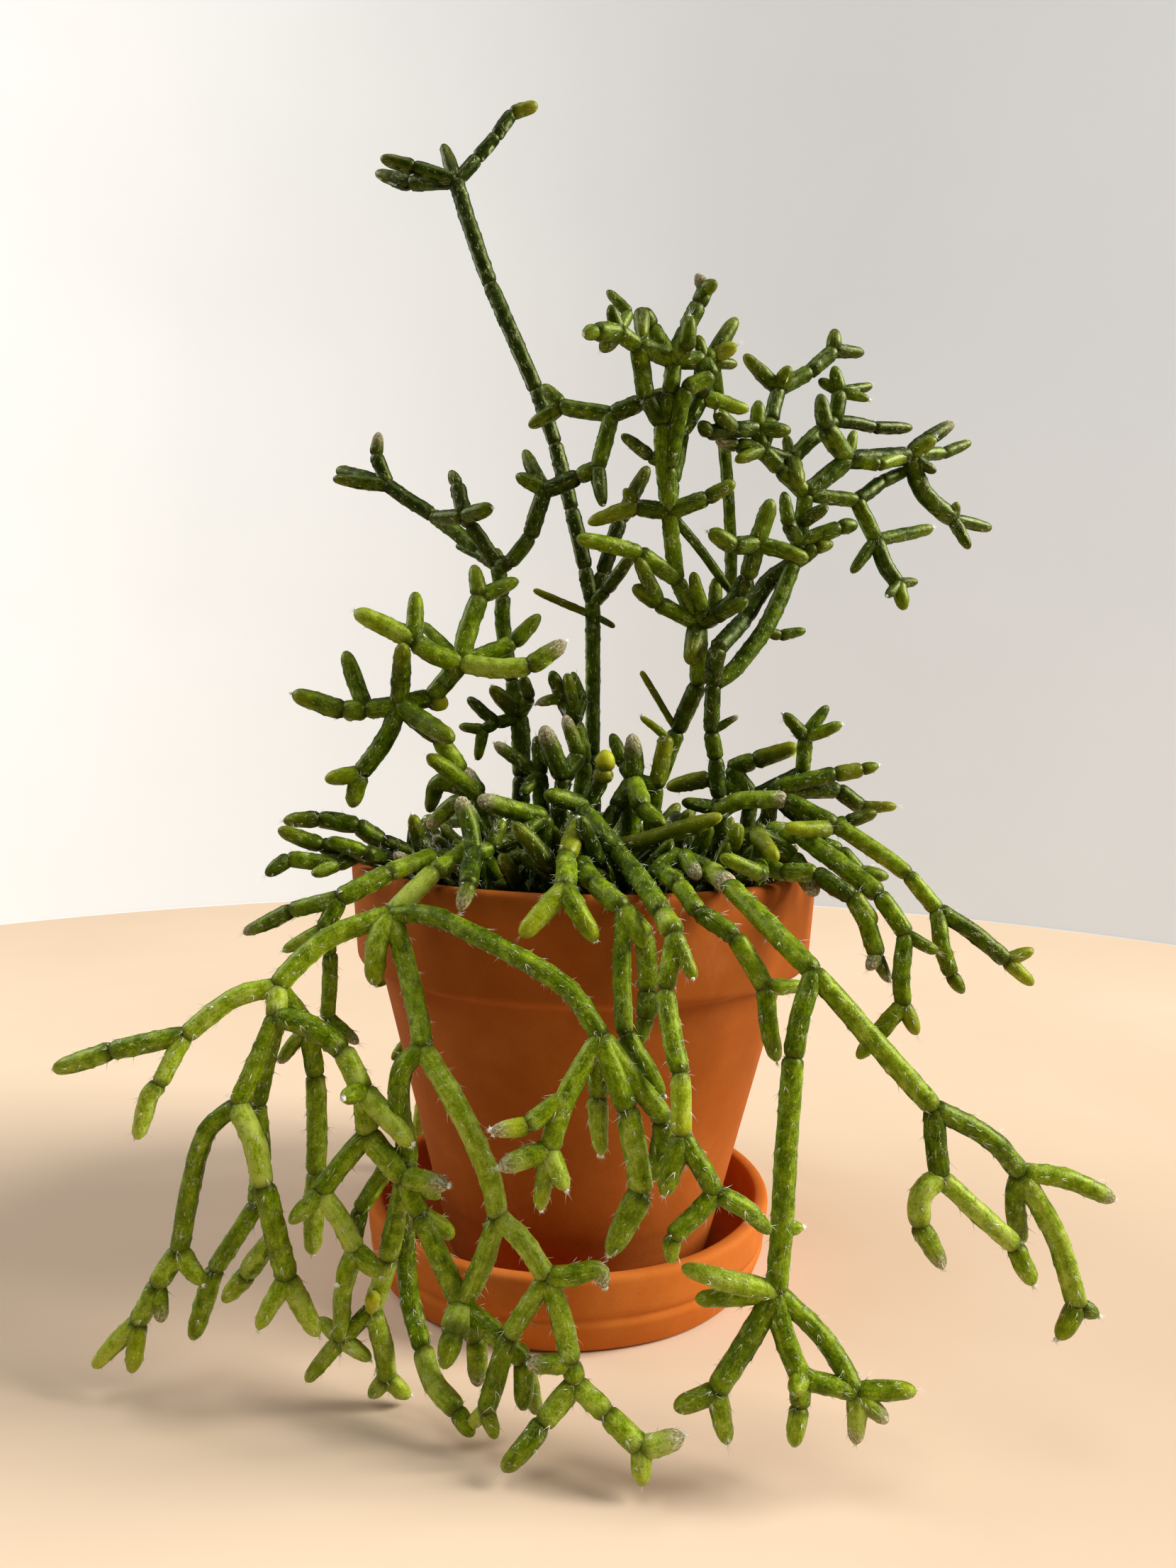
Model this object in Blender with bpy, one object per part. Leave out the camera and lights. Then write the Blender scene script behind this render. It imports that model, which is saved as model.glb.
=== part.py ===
# A potted rhipsalis: a clay pot on its saucer, the soil, and the plant's jointed stems.
# Lengths are in millimetres until a mesh is made, in metres. +Z is up, the saucer stands
# on z = 0, the pot's axis is x = y = 0 and the viewer stands at -Y.
import math

import bmesh
import bpy
import numpy as np
from mathutils import Vector

MM = 0.001
GAP = 0.3

# The pot: a tapered body with a tall rim band and a drain hole.
RIM_RADIUS = 75.0
RIM_TOP = 131.8
RIM_WALL = 5.6
BAND_FOOT = 104.0
BAND_FOOT_RADIUS = 73.2
NECK_HEIGHT = 98.8
NECK_RADIUS = 66.2
BASE_RADIUS = 42.9
WALL = 5.0
FLOOR = 6.0
DRAIN_RADIUS = 6.0

# The saucer, a little off the pot's axis, as the pot was set down on it.
SAUCER_X = -3.8
SAUCER_RADIUS = 66.3
SAUCER_TOP = 23.6
SAUCER_FOOT_RADIUS = 61.9
SAUCER_WALL = 4.9
SAUCER_FLOOR = 4.7
SAUCER_GROOVE = 10.5

# The soil, and how deep a stem goes in it. A stem stands straight up to ROOT_SHOWS.
SOIL_TOP = 120.0
ROOT_DEPTH = 7.5
ROOT_SHOWS = 4.0
HOLE_SIDES = 5
HOLE_EASE = 1.25

POT_BASE = SAUCER_FLOOR + GAP
ROUND_SIDES = 30
SMOOTH_ANGLE = 35
STEM_SMOOTH_ANGLE = 80

# The stems: the usual half thickness, and the sides of those above THICK, above THIN
# and below it. The flat sides are swelled a little to hold a round stem's size.
STEM = 2.45
THICK = 2.55
THIN = 2.15
STEM_SIDES = 5
TWIG_SIDES = 4
THIN_SIDES = 3
SIDE_SWELL = 1.07

# A stem is narrow at a joint and a little narrower at its tip. A segment longer than
# SHORT gets a full ring in its middle, and one longer than LONG has one near each end.
NECK = 0.78
TIP = 0.9
ROUND_END = 0.35
SHORT = 16.0
LONG = 32.0
NEAR_START = 0.22
NEAR_END = 0.78

# Bends gentler than this many degrees are left out. Corners nearer than WELD are made
# one, and runs that don't fuse cleanly are turned a little and tried again.
LEAST_BEND = 13.0
WELD = 0.14
TRIES = 30
RUN_TURN = 2.4
TURN_AGAIN = 0.37

# How stems of different nodes are bent clear of each other: pairs this near are looked
# at, with this much to spare, in small steps.
NEAR = 30.0
ROUNDS = 500
SAMPLES = 7
MARGIN = 0.06
EASE = 0.55

# The view in which the joints below were read by eye: where the eye is, how far it
# looks down and leans, and how many steps across one millimetre takes at one away.
EYE = np.array([1.35, -355.9, 179.6])
EYE_DOWN = 0.066
EYE_LEAN = 0.017
EYE_TURN = -0.002
EYE_REACH = 1534.0
VIEW_MIDDLE = (829.5, 1106.0)
# Above the crown each upright leans its own way, so that they part on every side: where
# that starts, over what height it grows, and for each stem where its foot is across the
# view, and how many millimetres a hundred steps to the right, and up, bring it nearer.
LEAN_FOOT = 960.0
LEAN_GROWTH = 200.0
LEANS = {
    'tall_stem': (836.0, 5.0, 0.0),
    'left_upright': (735.0, 7.0, 0.0),
    'middle_upright': (950.0, -6.0, 4.0),
    'right_upright': (1100.0, -10.0, 0.0),
}

# A joint marked so is a bend in one long segment, with no narrow neck.
BEND = True

# Every stem is a list of runs. A run may open with its own half thickness, and with
# a root as (x, y toward the viewer) on the soil. Its joints are (across, down, mm
# toward the viewer), and it forks from another run where they share a joint.
TALL_STEM = [
    [(3, -6), (836, 1065, -6), (836, 868, -6, BEND), (836, 852, -6), (825, 802, -7), (806, 718, -8),
     (783, 626, -9), (756, 550, -10), (691, 401, -10), (643, 255, -10)],
    [(643, 255, -10), (584, 236, -6), (540, 224, -4)],
    [(643, 255, -10), (579, 259, -14), (533, 245, -17)],
    [(643, 255, -10), (626, 207, -12)],
    [2.1, (643, 255, -10), (673, 223, -14), (700, 192, -16), (722, 160, -18), (756, 149, -20)],
    [(836, 852, -6), (850, 810, -10), (875, 734, -14), (913, 661, -18)],
    [2.0, (836, 852, -6), (855, 833, -2), (894, 780, 2)],
    [1.2, (836, 868, -6), (754, 833, -1)],
    [1.0, (836, 868, -6), (866, 884, -2)],
]

LEFT_UPRIGHT = [
    [2.9, (-22, -3), (735, 1095, 0), (733, 1010, 0)],
    [(733, 1010, 0), (722, 960, 0), (710, 894, 1, BEND), (709, 841, 2), (702, 797, 3), (701, 777, 3)],
    [(702, 797, 3), (664, 741, 8), (655, 728, 10), (645, 684, 8), (637, 667, 8)],
    [(655, 728, 10), (691, 716, 14)],
    [(655, 728, 10), (613, 730, 6)],
    [(702, 797, 3), (676, 780, -2), (611, 727, -7), (546, 684, -8), (530, 642, -8), (534, 613, -8)],
    [(546, 684, -8), (473, 676, -4)],
    [(546, 684, -8), (478, 664, -13)],
    [1.2, (702, 797, 3), (645, 770, -4)],
    [(702, 797, 3), (718, 795, 6), (748, 757, 6), (768, 692, 5), (741, 638, 2)],
    [(768, 692, 5), (731, 672, 8)],
    [(768, 692, 5), (816, 672, 5), (843, 660, 5), (850, 711, 8)],
    [(843, 660, 5), (863, 584, 3), (791, 573, 3), (767, 546, 2)],
    [(791, 573, 3), (749, 600, 4)],
    [(863, 584, 3), (905, 567, 2), (945, 554, 1)],
    [3.0, (733, 1010, 0), (695, 972, 6)],
    [2.0, (733, 1010, 0), (747, 985, 6), (738, 955, 8)],
    [2.0, (733, 1010, 0), (700, 1020, 5), (662, 986, 4)],
    [1.8, (700, 1020, 5), (682, 1029, 6), (650, 1025, 6)],
    [1.8, (682, 1029, 6), (674, 1070, 6)],
]

MIDDLE_UPRIGHT = [
    [2.9, (18, -5), (925, 1110, -2), (955, 1032, 0), (985, 965, 4), (984, 880, 8)],
    [(984, 880, 8), (955, 818, 9), (944, 722, 9), (936, 655, 9, BEND), (934, 598, 9), (945, 555, 9),
     (950, 508, 8)],
    [(950, 508, 8), (900, 488, 10), (872, 468, 12), (862, 434, 12)],
    [(872, 468, 12), (840, 468, 16), (827, 470, 18)],
    [(872, 468, 12), (850, 492, 8)],
    [1.6, (872, 468, 12), (887, 442, 8), (858, 412, 4)],
    [(950, 508, 8), (920, 462, 2), (905, 440, 2), (906, 477, 8)],
    [(950, 508, 8), (968, 465, 5), (985, 430, 4), (995, 408, 3), (984, 390, 2)],
    [(995, 408, 3), (1007, 400, 8)],
    [(950, 508, 8), (968, 492, 14), (973, 450, 14)],
    [(950, 508, 8), (992, 508, 8), (1006, 502, 6), (1037, 452, 3)],
    [(1006, 502, 6), (1036, 489, 10)],
    [1.8, (992, 508, 8), (1037, 514, 5)],
    [1.8, (992, 508, 8), (985, 476, 6)],
    [(992, 508, 8), (1004, 532, 12), (966, 549, 12), (955, 600, 11, BEND), (944, 660, 10), (944, 722, 9)],
    [(992, 508, 8), (992, 560, 3), (966, 610, 2), (948, 680, 4), (944, 722, 9)],
    [(992, 560, 3), (1056, 579, 3)],
    [(900, 488, 10), (911, 560, 7), (934, 598, 9)],
    [1.9, (1006, 502, 6), (1014, 565, -6, BEND), (1025, 666, -11, BEND), (1031, 760, -13),
     (1032, 841, -13)],
    [(944, 722, 9), (997, 703, 12), (1034, 682, 14)],
    [(944, 722, 9), (898, 715, 6), (833, 737, 4)],
    [2.0, (898, 715, 6), (882, 692, 5)],
    [2.0, (936, 655, 9), (917, 644, 7), (879, 615, 5)],
    [(955, 818, 9), (902, 780, 12), (817, 760, 14)],
    [(984, 880, 8), (928, 852, 12), (896, 829, 12)],
    [(928, 852, 12), (900, 790, 14)],
    [2.9, (984, 880, 8), (974, 933, 16)],
    [2.0, (984, 880, 8), (992, 862, 13), (978, 810, 14)],
    [(984, 880, 8), (1008, 872, 3), (1010, 818, 2)],
    [(984, 880, 8), (1010, 868, 13), (1052, 848, 16)],
    [1.4, (944, 722, 9), (990, 778, 5, BEND), (1030, 834, 2)],
    [2.8, (1008, 872, 3), (1040, 842, 8, BEND), (1054, 815, 12), (1068, 767, 15), (1087, 708, 15)],
    [2.8, (1068, 767, 15), (1035, 771, 17), (1004, 751, 18)],
    [(1068, 767, 15), (1137, 788, 18)],
    [1.1, (955, 1032, 0), (905, 948, 4)],
]

RIGHT_UPRIGHT = [
    [(43, 6), (1014, 1125, 8), (1010, 1070, 8), (1003, 1033, 10), (1006, 965, 12)],
    [2.8, (1006, 965, 12), (1035, 945, 9, BEND), (1078, 890, 4, BEND), (1102, 840, 1, BEND),
     (1119, 795, 0)],
    [2.8, (1006, 965, 12), (1012, 915, 18), (1050, 874, -2), (1080, 826, -5, BEND), (1119, 795, 0)],
    [2.6, (1119, 795, 0), (1126, 765, 2), (1131, 738, 4), (1136, 697, 6)],
    [(1136, 697, 6), (1100, 662, 6), (1075, 634, 6), (1067, 603, 6), (1067, 568, 6)],
    [(1067, 603, 6), (1112, 608, 10)],
    [(1067, 603, 6), (1035, 606, 6), (1000, 611, 6), (984, 597, 6)],
    [(1035, 606, 6), (1012, 583, 10)],
    [(1075, 634, 6), (1040, 628, 4), (1013, 622, 3)],
    [2.0, (1075, 634, 6), (1040, 649, 8)],
    [2.0, (1075, 634, 6), (1116, 648, 5), (1109, 617, 3)],
    [(1116, 648, 5), (1160, 606, 2), (1178, 594, 2)],
    [2.6, (1116, 648, 5), (1127, 682, 12)],
    [2.9, (1136, 697, 6), (1196, 648, 8), (1165, 604, 12), (1157, 560, 12)],
    [2.0, (1196, 648, 8), (1204, 610, 8)],
    [2.9, (1196, 648, 8), (1283, 643, 8), (1303, 695, 6, BEND), (1344, 733, 5)],
    [2.0, (1196, 648, 8), (1240, 656, 12), (1283, 643, 8)],
    [(1178, 594, 2), (1184, 553, 2), (1177, 520, 2)],
    [1.8, (1184, 553, 2), (1157, 537, -1)],
    [1.8, (1184, 553, 2), (1224, 563, 6)],
    [1.8, (1184, 553, 2), (1228, 545, 0)],
    [2.0, (1178, 594, 2), (1233, 603, 1), (1284, 604, 0)],
    [2.8, (1283, 643, 8), (1317, 619, 13)],
    [(1283, 643, 8), (1305, 622, 3), (1342, 599, 2)],
    [2.0, (1283, 643, 8), (1330, 640, 3), (1367, 625, 2)],
    [2.0, (1283, 643, 8), (1318, 665, 12)],
    [2.2, (1344, 733, 5), (1349, 711, 8)],
    [2.0, (1344, 733, 5), (1396, 745, 3)],
    [2.0, (1344, 733, 5), (1366, 772, 8)],
    [2.2, (1136, 697, 6), (1208, 706, 7), (1243, 680, 5), (1279, 664, 4)],
    [(1208, 706, 7), (1235, 762, 7), (1250, 800, 7, BEND), (1267, 823, 7), (1275, 857, 7)],
    [2.0, (1235, 762, 7), (1313, 746, 7)],
    [2.0, (1235, 762, 7), (1203, 806, 5)],
    [1.9, (1267, 823, 7), (1292, 821, 7)],
    [1.9, (1267, 823, 7), (1252, 840, 10)],
    [(1075, 634, 6), (1087, 595, 0), (1098, 548, -2), (1080, 532, -3, BEND), (1052, 503, -4)],
    [(1098, 548, -2), (1112, 520, 3)],
    [(1098, 548, -2), (1142, 525, -2), (1176, 495, -2), (1177, 468, -2)],
    [2.2, (1176, 495, -2), (1216, 498, -2)],
    [(1131, 738, 4), (1165, 716, 12)],
    [(1126, 765, 2), (1184, 744, 8), (1206, 741, 8)],
    [(1119, 795, 0), (1150, 772, 5), (1172, 768, 6)],
    [2.2, (1126, 765, 2), (1112, 740, 8), (1106, 697, 9)],
    [1.9, (1078, 890, 4), (1100, 897, 3), (1134, 890, 3)],
    [1.3, (1003, 1033, 10), (1040, 1011, 13)],
]

LEFT_ARM = [
    [2.8, (-33, 12), (676, 1120, 17), (651, 1088, 20), (618, 1040, 22), (563, 995, 26)],
    [2.9, (563, 995, 26), (566, 950, 29, BEND), (568, 912, 36)],
    [2.9, (563, 995, 26), (517, 1002, 26), (485, 1003, 26), (417, 980, 26)],
    [(517, 1002, 26), (488, 922, 22)],
    [2.8, (563, 995, 26), (545, 1040, 28, BEND), (508, 1092, 30), (463, 1099, 32)],
    [2.8, (508, 1092, 30), (497, 1135, 30)],
    [3.1, (563, 995, 26), (600, 1020, 31, BEND), (636, 1042, 38)],
    [2.8, (563, 995, 26), (608, 985, 24), (650, 935, 26), (660, 890, 24, BEND), (677, 842, 22),
     (669, 801, 20)],
    [(677, 842, 22), (728, 820, 18)],
    [2.9, (650, 935, 26), (700, 943, 28, BEND), (747, 940, 28), (794, 908, 28)],
    [2.7, (650, 935, 26), (724, 907, 20), (759, 870, 19)],
    [2.9, (650, 935, 26), (615, 925, 29, BEND), (584, 905, 30), (504, 865, 30)],
    [2.0, (650, 935, 26), (597, 881, 20)],
    [2.7, (584, 905, 30), (586, 839, 28)],
    [2.8, (676, 1120, 17), (606, 1068, 28)],
    [2.8, (676, 1120, 17), (622, 1104, 12, BEND), (606, 1142, 10)],
    [2.9, (608, 985, 24), (627, 995, 22)],
]

CROWN_LEFT = [
    [2.7, (-42, 12), (619, 1226, 20), (539, 1187, 25), (504, 1164, 28), (450, 1155, 30), (404, 1158, 32)],
    [(619, 1226, 20), (560, 1224, 30), (505, 1211, 36), (453, 1192, 40), (396, 1171, 42)],
    [(560, 1224, 30), (514, 1205, 42), (465, 1186, 45)],
    [2.3, (505, 1211, 36), (476, 1220, 44), (407, 1211, 46), (378, 1232, 48)],
    [2.0, (476, 1220, 44), (443, 1232, 50)],
]

CROWN_FRONT_LEFT = [
    [2.5, (-30, 45), (668, 1203, 59), (661, 1248, 80), (650, 1284, 82)],
    [(668, 1203, 59), (663, 1165, 55, BEND), (648, 1128, 53), (606, 1165, 50)],
    [(668, 1203, 59), (692, 1198, 54), (708, 1160, 52)],
]

CROWN_FRONT = [
    [2.8, (-14, 32), (768, 1152, 38), (722, 1142, 42, BEND), (678, 1128, 46)],
    [2.4, (768, 1152, 38), (735, 1178, 44), (690, 1195, 50)],
]

CROWN_FRONT_LOW = [
    [2.8, (-8, 47), (780, 1228, 62), (752, 1190, 64, BEND), (727, 1164, 66)],
    [2.3, (780, 1228, 62), (738, 1206, 58), (706, 1218, 56)],
]

CROWN_BERRIES = [
    [(0, 20), (828, 1138, 28), (849, 1100, 30)],
    [2.9, (849, 1100, 30), (853, 1086, 31)],
    [2.8, (853, 1086, 31), (854, 1062, 31)],
    [2.8, (828, 1138, 28), (772, 1122, 38)],
]

CROWN_MIDDLE = [
    [(-4, 8), (824, 1075, 8), (812, 1020, 8), (793, 985, 10), (779, 950, 12)],
    [1.9, (793, 985, 10), (759, 992, 10)],
    [2.0, (812, 1020, 8), (800, 953, 15)],
    [1.7, (812, 1020, 8), (822, 988, 4), (808, 950, 4)],
]

CROWN_MIDDLE_LEFT = [
    [(-12, 16), (795, 1098, 20), (818, 1065, 16), (798, 1012, 18)],
    [3.0, (795, 1098, 20), (768, 1028, 24)],
    [(-12, 16), (762, 1092, 16), (757, 1042, 16)],
    [2.2, (762, 1092, 16), (738, 1118, 26)],
    [2.0, (762, 1092, 16), (700, 1050, 16)],
]

CROWN_MIDDLE_RIGHT = [
    [3.0, (13, 16), (893, 1100, 20), (892, 1040, 22)],
    [2.2, (893, 1100, 20), (880, 1080, 14), (864, 1038, 12)],
    [(893, 1100, 20), (925, 1110, 20), (940, 1040, 20)],
    [1.2, (940, 1040, 20), (905, 1012, 18)],
    [2.9, (893, 1100, 20), (905, 1140, 30), (935, 1163, 36)],
    [2.4, (893, 1100, 20), (868, 1140, 24), (846, 1180, 30)],
]

CROWN_LYING = [
    [2.6, (14, 34), (866, 1196, 38), (920, 1184, 42, BEND), (1015, 1152, 46)],
]

CROWN_RIGHT = [
    [(52, -8), (1060, 1125, -6), (1132, 1090, -2), (1136, 1040, 0), (1108, 1009, 0)],
    [2.2, (1136, 1040, 0), (1166, 998, -1)],
    [2.0, (1136, 1040, 0), (1185, 1022, 2)],
    [2.9, (1060, 1125, -6), (1030, 1084, -8), (1064, 1073, -8), (1122, 1054, -6)],
    [2.9, (1060, 1125, -6), (1000, 1098, -10), (944, 1110, -12)],
    [2.4, (1060, 1125, -6), (1020, 1142, -2), (965, 1132, 0)],
]

CROWN_RIGHT_LOW = [
    [(57, 6), (1088, 1115, 8), (1120, 1105, 8, BEND), (1178, 1092, 8), (1216, 1086, 8), (1236, 1081, 8)],
    [2.7, (1088, 1115, 8), (1182, 1114, 2), (1214, 1138, 2)],
    [1.8, (1214, 1138, 2), (1262, 1138, 2)],
    [(1088, 1115, 8), (1150, 1172, 12), (1195, 1160, 12), (1234, 1147, 12)],
]

CROWN_FRONT_RIGHT = [
    [(40, 34), (1050, 1212, 50), (1041, 1166, 56)],
    [(1050, 1212, 50), (1062, 1190, 46), (1093, 1223, 56)],
    [2.7, (1062, 1190, 46), (1120, 1206, 42), (1150, 1258, 54)],
]

TRAIL_FAR_LEFT = [
    [2.6, (-31, 24), (610, 1208, 42), (548, 1231, 60), (479, 1267, 63)],
    [2.3, (479, 1267, 63), (412, 1284, 60), (347, 1315, 56)],
    [(479, 1267, 63), (456, 1312, 64)],
    [2.0, (456, 1312, 64), (403, 1340, 62)],
    [2.0, (456, 1312, 64), (466, 1345, 61), (462, 1436, 58), (503, 1470, 58)],
]

TRAIL_LEFT = [
    [2.6, (-22, 35), (668, 1192, 46), (620, 1243, 62), (557, 1290, 70), (480, 1315, 73, BEND),
     (435, 1345, 76, BEND), (390, 1392, 80), (390, 1434, 84)],
    [2.8, (557, 1290, 70), (532, 1330, 75, BEND), (528, 1385, 76)],
    [(557, 1290, 70), (575, 1360, 76, BEND), (590, 1430, 84, BEND), (597, 1480, 90)],
    [(557, 1290, 70), (610, 1288, 76, BEND), (680, 1318, 85, BEND), (745, 1350, 93, BEND),
     (805, 1400, 99, BEND), (848, 1463, 104)],
    [(390, 1392, 80), (330, 1408, 82, BEND), (262, 1460, 84), (205, 1472, 84, BEND), (158, 1482, 84),
     (80, 1507, 82)],
    [2.2, (262, 1460, 84), (225, 1530, 88), (210, 1548, 88, BEND), (195, 1603, 88)],
    [(390, 1392, 80), (432, 1450, 74, BEND), (445, 1517, 72), (447, 1585, 72, BEND), (446, 1655, 74),
     (441, 1765, 76)],
    [1.9, (432, 1450, 74), (396, 1497, 72)],
    [(390, 1434, 84), (362, 1500, 86, BEND), (335, 1558, 88), (290, 1600, 88, BEND),
     (268, 1680, 88, BEND), (253, 1765, 88), (222, 1812, 88), (195, 1865, 88), (135, 1925, 88)],
    [(195, 1865, 88), (187, 1932, 90)],
    [2.0, (222, 1812, 88), (228, 1862, 90)],
    [(253, 1765, 88), (283, 1808, 90)],
    [2.6, (335, 1558, 88), (358, 1610, 92, BEND), (372, 1672, 92), (388, 1740, 92, BEND), (405, 1803, 92),
     (447, 1880, 92)],
    [(405, 1803, 92), (366, 1870, 96)],
    [(388, 1740, 92), (350, 1795, 85), (318, 1832, 84)],
    [(390, 1434, 84), (374, 1500, 77, BEND), (362, 1557, 76), (368, 1625, 76, BEND), (362, 1700, 76),
     (303, 1790, 76), (273, 1885, 78)],
    [2.7, (390, 1434, 84), (440, 1450, 86, BEND), (484, 1482, 87), (512, 1540, 90), (488, 1548, 98)],
    [2.7, (512, 1540, 90), (518, 1600, 90), (572, 1662, 94)],
    [2.7, (512, 1540, 90), (578, 1612, 96)],
    [(518, 1600, 90), (452, 1682, 94), (412, 1722, 97)],
    [(452, 1682, 94), (480, 1722, 94, BEND), (502, 1765, 94), (480, 1808, 99)],
    [2.7, (502, 1765, 94), (535, 1796, 97)],
    [2.1, (502, 1765, 94), (484, 1822, 88, BEND), (482, 1890, 87), (435, 1945, 87)],
    [2.1, (482, 1890, 87), (520, 1916, 87)],
    [2.1, (482, 1890, 87), (452, 1862, 83)],
    [2.1, (482, 1890, 87), (525, 1846, 86)],
    [2.7, (572, 1662, 94), (628, 1672, 100)],
    [1.9, (572, 1662, 94), (618, 1688, 94)],
    [(572, 1662, 94), (560, 1715, 89, BEND), (548, 1775, 87), (525, 1846, 86), (540, 1900, 86, BEND),
     (546, 1945, 86), (524, 1975, 86)],
    [(546, 1945, 86), (575, 1968, 86)],
    [1.7, (525, 1846, 86), (526, 1828, 91)],
    [(572, 1662, 94), (592, 1714, 96), (636, 1742, 93)],
    [(592, 1714, 96), (620, 1775, 98, BEND), (652, 1842, 98)],
    [(572, 1662, 94), (572, 1750, 83, BEND), (578, 1830, 83, BEND), (596, 1902, 90), (612, 1950, 95, BEND),
     (645, 1990, 100), (665, 2022, 103)],
    [2.2, (572, 1662, 94), (546, 1645, 85), (508, 1706, 84), (497, 1762, 86)],
    [3.2, (652, 1842, 98), (640, 1882, 105), (627, 1924, 107)],
    [(652, 1842, 98), (672, 1888, 97), (674, 1950, 97)],
    [(652, 1842, 98), (690, 1875, 102, BEND), (740, 1918, 103), (738, 1984, 105)],
    [2.0, (740, 1918, 103), (756, 1990, 98)],
    [(597, 1480, 90), (568, 1507, 92, BEND), (563, 1562, 92, BEND), (574, 1620, 90, BEND), (572, 1662, 94)],
    [(597, 1480, 90), (650, 1570, 97, BEND), (690, 1660, 99, BEND), (702, 1716, 100)],
    [(702, 1716, 100), (682, 1780, 100, BEND), (652, 1842, 98)],
    [(702, 1716, 100), (740, 1755, 103, BEND), (772, 1802, 105), (805, 1800, 106, BEND),
     (843, 1792, 106, BEND), (852, 1812, 107)],
    [2.3, (772, 1802, 105), (718, 1884, 105), (686, 1990, 106), (698, 2025, 107)],
    [1.9, (686, 1990, 106), (663, 2010, 101)],
    [(772, 1802, 105), (792, 1860, 107, BEND), (806, 1922, 109), (812, 1952, 110), (765, 2008, 112),
     (738, 2045, 114, BEND), (712, 2070, 115)],
    [2.2, (806, 1922, 109), (748, 1926, 109)],
    [(812, 1952, 110), (856, 1995, 113), (905, 2043, 117), (960, 2028, 117)],
    [(905, 2043, 117), (905, 2090, 119)],
    [2.7, (848, 1463, 104), (872, 1530, 108, BEND), (885, 1565, 109), (905, 1682, 111)],
    [3.2, (905, 1682, 111), (862, 1765, 113)],
    [(848, 1463, 104), (800, 1545, 108, BEND), (775, 1622, 110), (708, 1646, 112)],
    [2.1, (775, 1622, 110), (762, 1703, 112)],
    [(775, 1622, 110), (797, 1675, 114)],
    [2.2, (800, 1545, 108), (745, 1588, 110), (697, 1595, 112)],
    [2.3, (848, 1463, 104), (843, 1547, 103), (848, 1625, 104)],
    [(848, 1463, 104), (890, 1520, 106, BEND), (938, 1578, 106), (923, 1660, 103)],
]

TRAIL_FRONT = [
    [2.6, (2, 30), (822, 1142, 36), (872, 1203, 50), (935, 1288, 92), (952, 1317, 98)],
    [2.0, (952, 1317, 98), (979, 1378, 104)],
    [2.2, (952, 1317, 98), (938, 1396, 102), (948, 1460, 106, BEND), (960, 1514, 110), (962, 1603, 114)],
    [2.2, (962, 1603, 114), (988, 1645, 115, BEND), (1010, 1684, 116), (1050, 1705, 116, BEND),
     (1084, 1736, 114)],
    [2.2, (1010, 1684, 116), (948, 1745, 118), (947, 1778, 118)],
    [(962, 1603, 114), (938, 1682, 116)],
]

TRAIL_FRONT_SHORT = [
    [2.6, (-5, 38), (818, 1160, 50), (797, 1212, 64), (797, 1252, 84), (735, 1324, 90)],
    [2.6, (797, 1252, 84), (815, 1285, 88, BEND), (838, 1324, 90)],
]

TRAIL_FRONT_DARK = [
    [2.6, (4, 46), (818, 1215, 58), (838, 1246, 77), (880, 1282, 86), (907, 1332, 92)],
    [2.2, (880, 1282, 86), (877, 1370, 93, BEND), (881, 1458, 99), (932, 1543, 101)],
    [(880, 1282, 86), (910, 1318, 82), (913, 1398, 84), (912, 1436, 86), (901, 1470, 86)],
]

TRAIL_FRONT_RIGHT = [
    [2.4, (22, 40), (925, 1226, 58), (957, 1247, 73), (985, 1287, 81), (1037, 1322, 86),
     (1080, 1393, 90)],
    [2.2, (1080, 1393, 90), (1085, 1450, 92, BEND), (1095, 1493, 92)],
    [2.2, (1080, 1393, 90), (1132, 1391, 88)],
    [2.3, (925, 1226, 58), (968, 1213, 54), (1000, 1238, 62)],
]

TRAIL_RIGHT = [
    [2.7, (29, 30), (938, 1204, 44), (990, 1230, 58), (1024, 1250, 68), (1085, 1310, 84, BEND),
     (1148, 1372, 96)],
    [(1148, 1372, 96), (1130, 1430, 100, BEND), (1119, 1492, 102), (1108, 1640, 106, BEND),
     (1103, 1735, 108, BEND), (1095, 1822, 110)],
    [1.9, (1103, 1735, 108), (1129, 1731, 108)],
    [2.3, (1095, 1822, 110), (1030, 1808, 112, BEND), (966, 1789, 112)],
    [2.1, (1095, 1822, 110), (985, 1833, 107)],
    [(1095, 1822, 110), (1050, 1900, 112, BEND), (1010, 1962, 114), (955, 1985, 114)],
    [(1010, 1962, 114), (1025, 2032, 116)],
    [(1095, 1822, 110), (1105, 1880, 113, BEND), (1130, 1945, 116), (1121, 1962, 122)],
    [2.2, (1130, 1945, 116), (1128, 1985, 118), (1120, 2036, 119)],
    [2.2, (1130, 1945, 116), (1208, 1964, 117), (1288, 1962, 118)],
    [2.2, (1095, 1822, 110), (1165, 1892, 112, BEND), (1208, 1964, 117), (1207, 2032, 119)],
    [2.0, (1208, 1964, 117), (1249, 2003, 119)],
    [(1148, 1372, 96), (1230, 1465, 98, BEND), (1317, 1563, 100), (1326, 1660, 102)],
    [2.6, (1326, 1660, 102), (1300, 1685, 104, BEND), (1296, 1728, 104), (1328, 1785, 106)],
    [(1326, 1660, 102), (1385, 1715, 104, BEND), (1432, 1757, 104), (1455, 1808, 106)],
    [(1317, 1563, 100), (1395, 1605, 100, BEND), (1440, 1655, 100), (1500, 1662, 100, BEND),
     (1568, 1690, 100)],
    [(1440, 1655, 100), (1490, 1745, 102, BEND), (1520, 1842, 104), (1545, 1853, 104)],
    [(1520, 1842, 104), (1495, 1885, 106)],
    [(1440, 1655, 100), (1432, 1700, 98, BEND), (1440, 1750, 97)],
]

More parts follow.
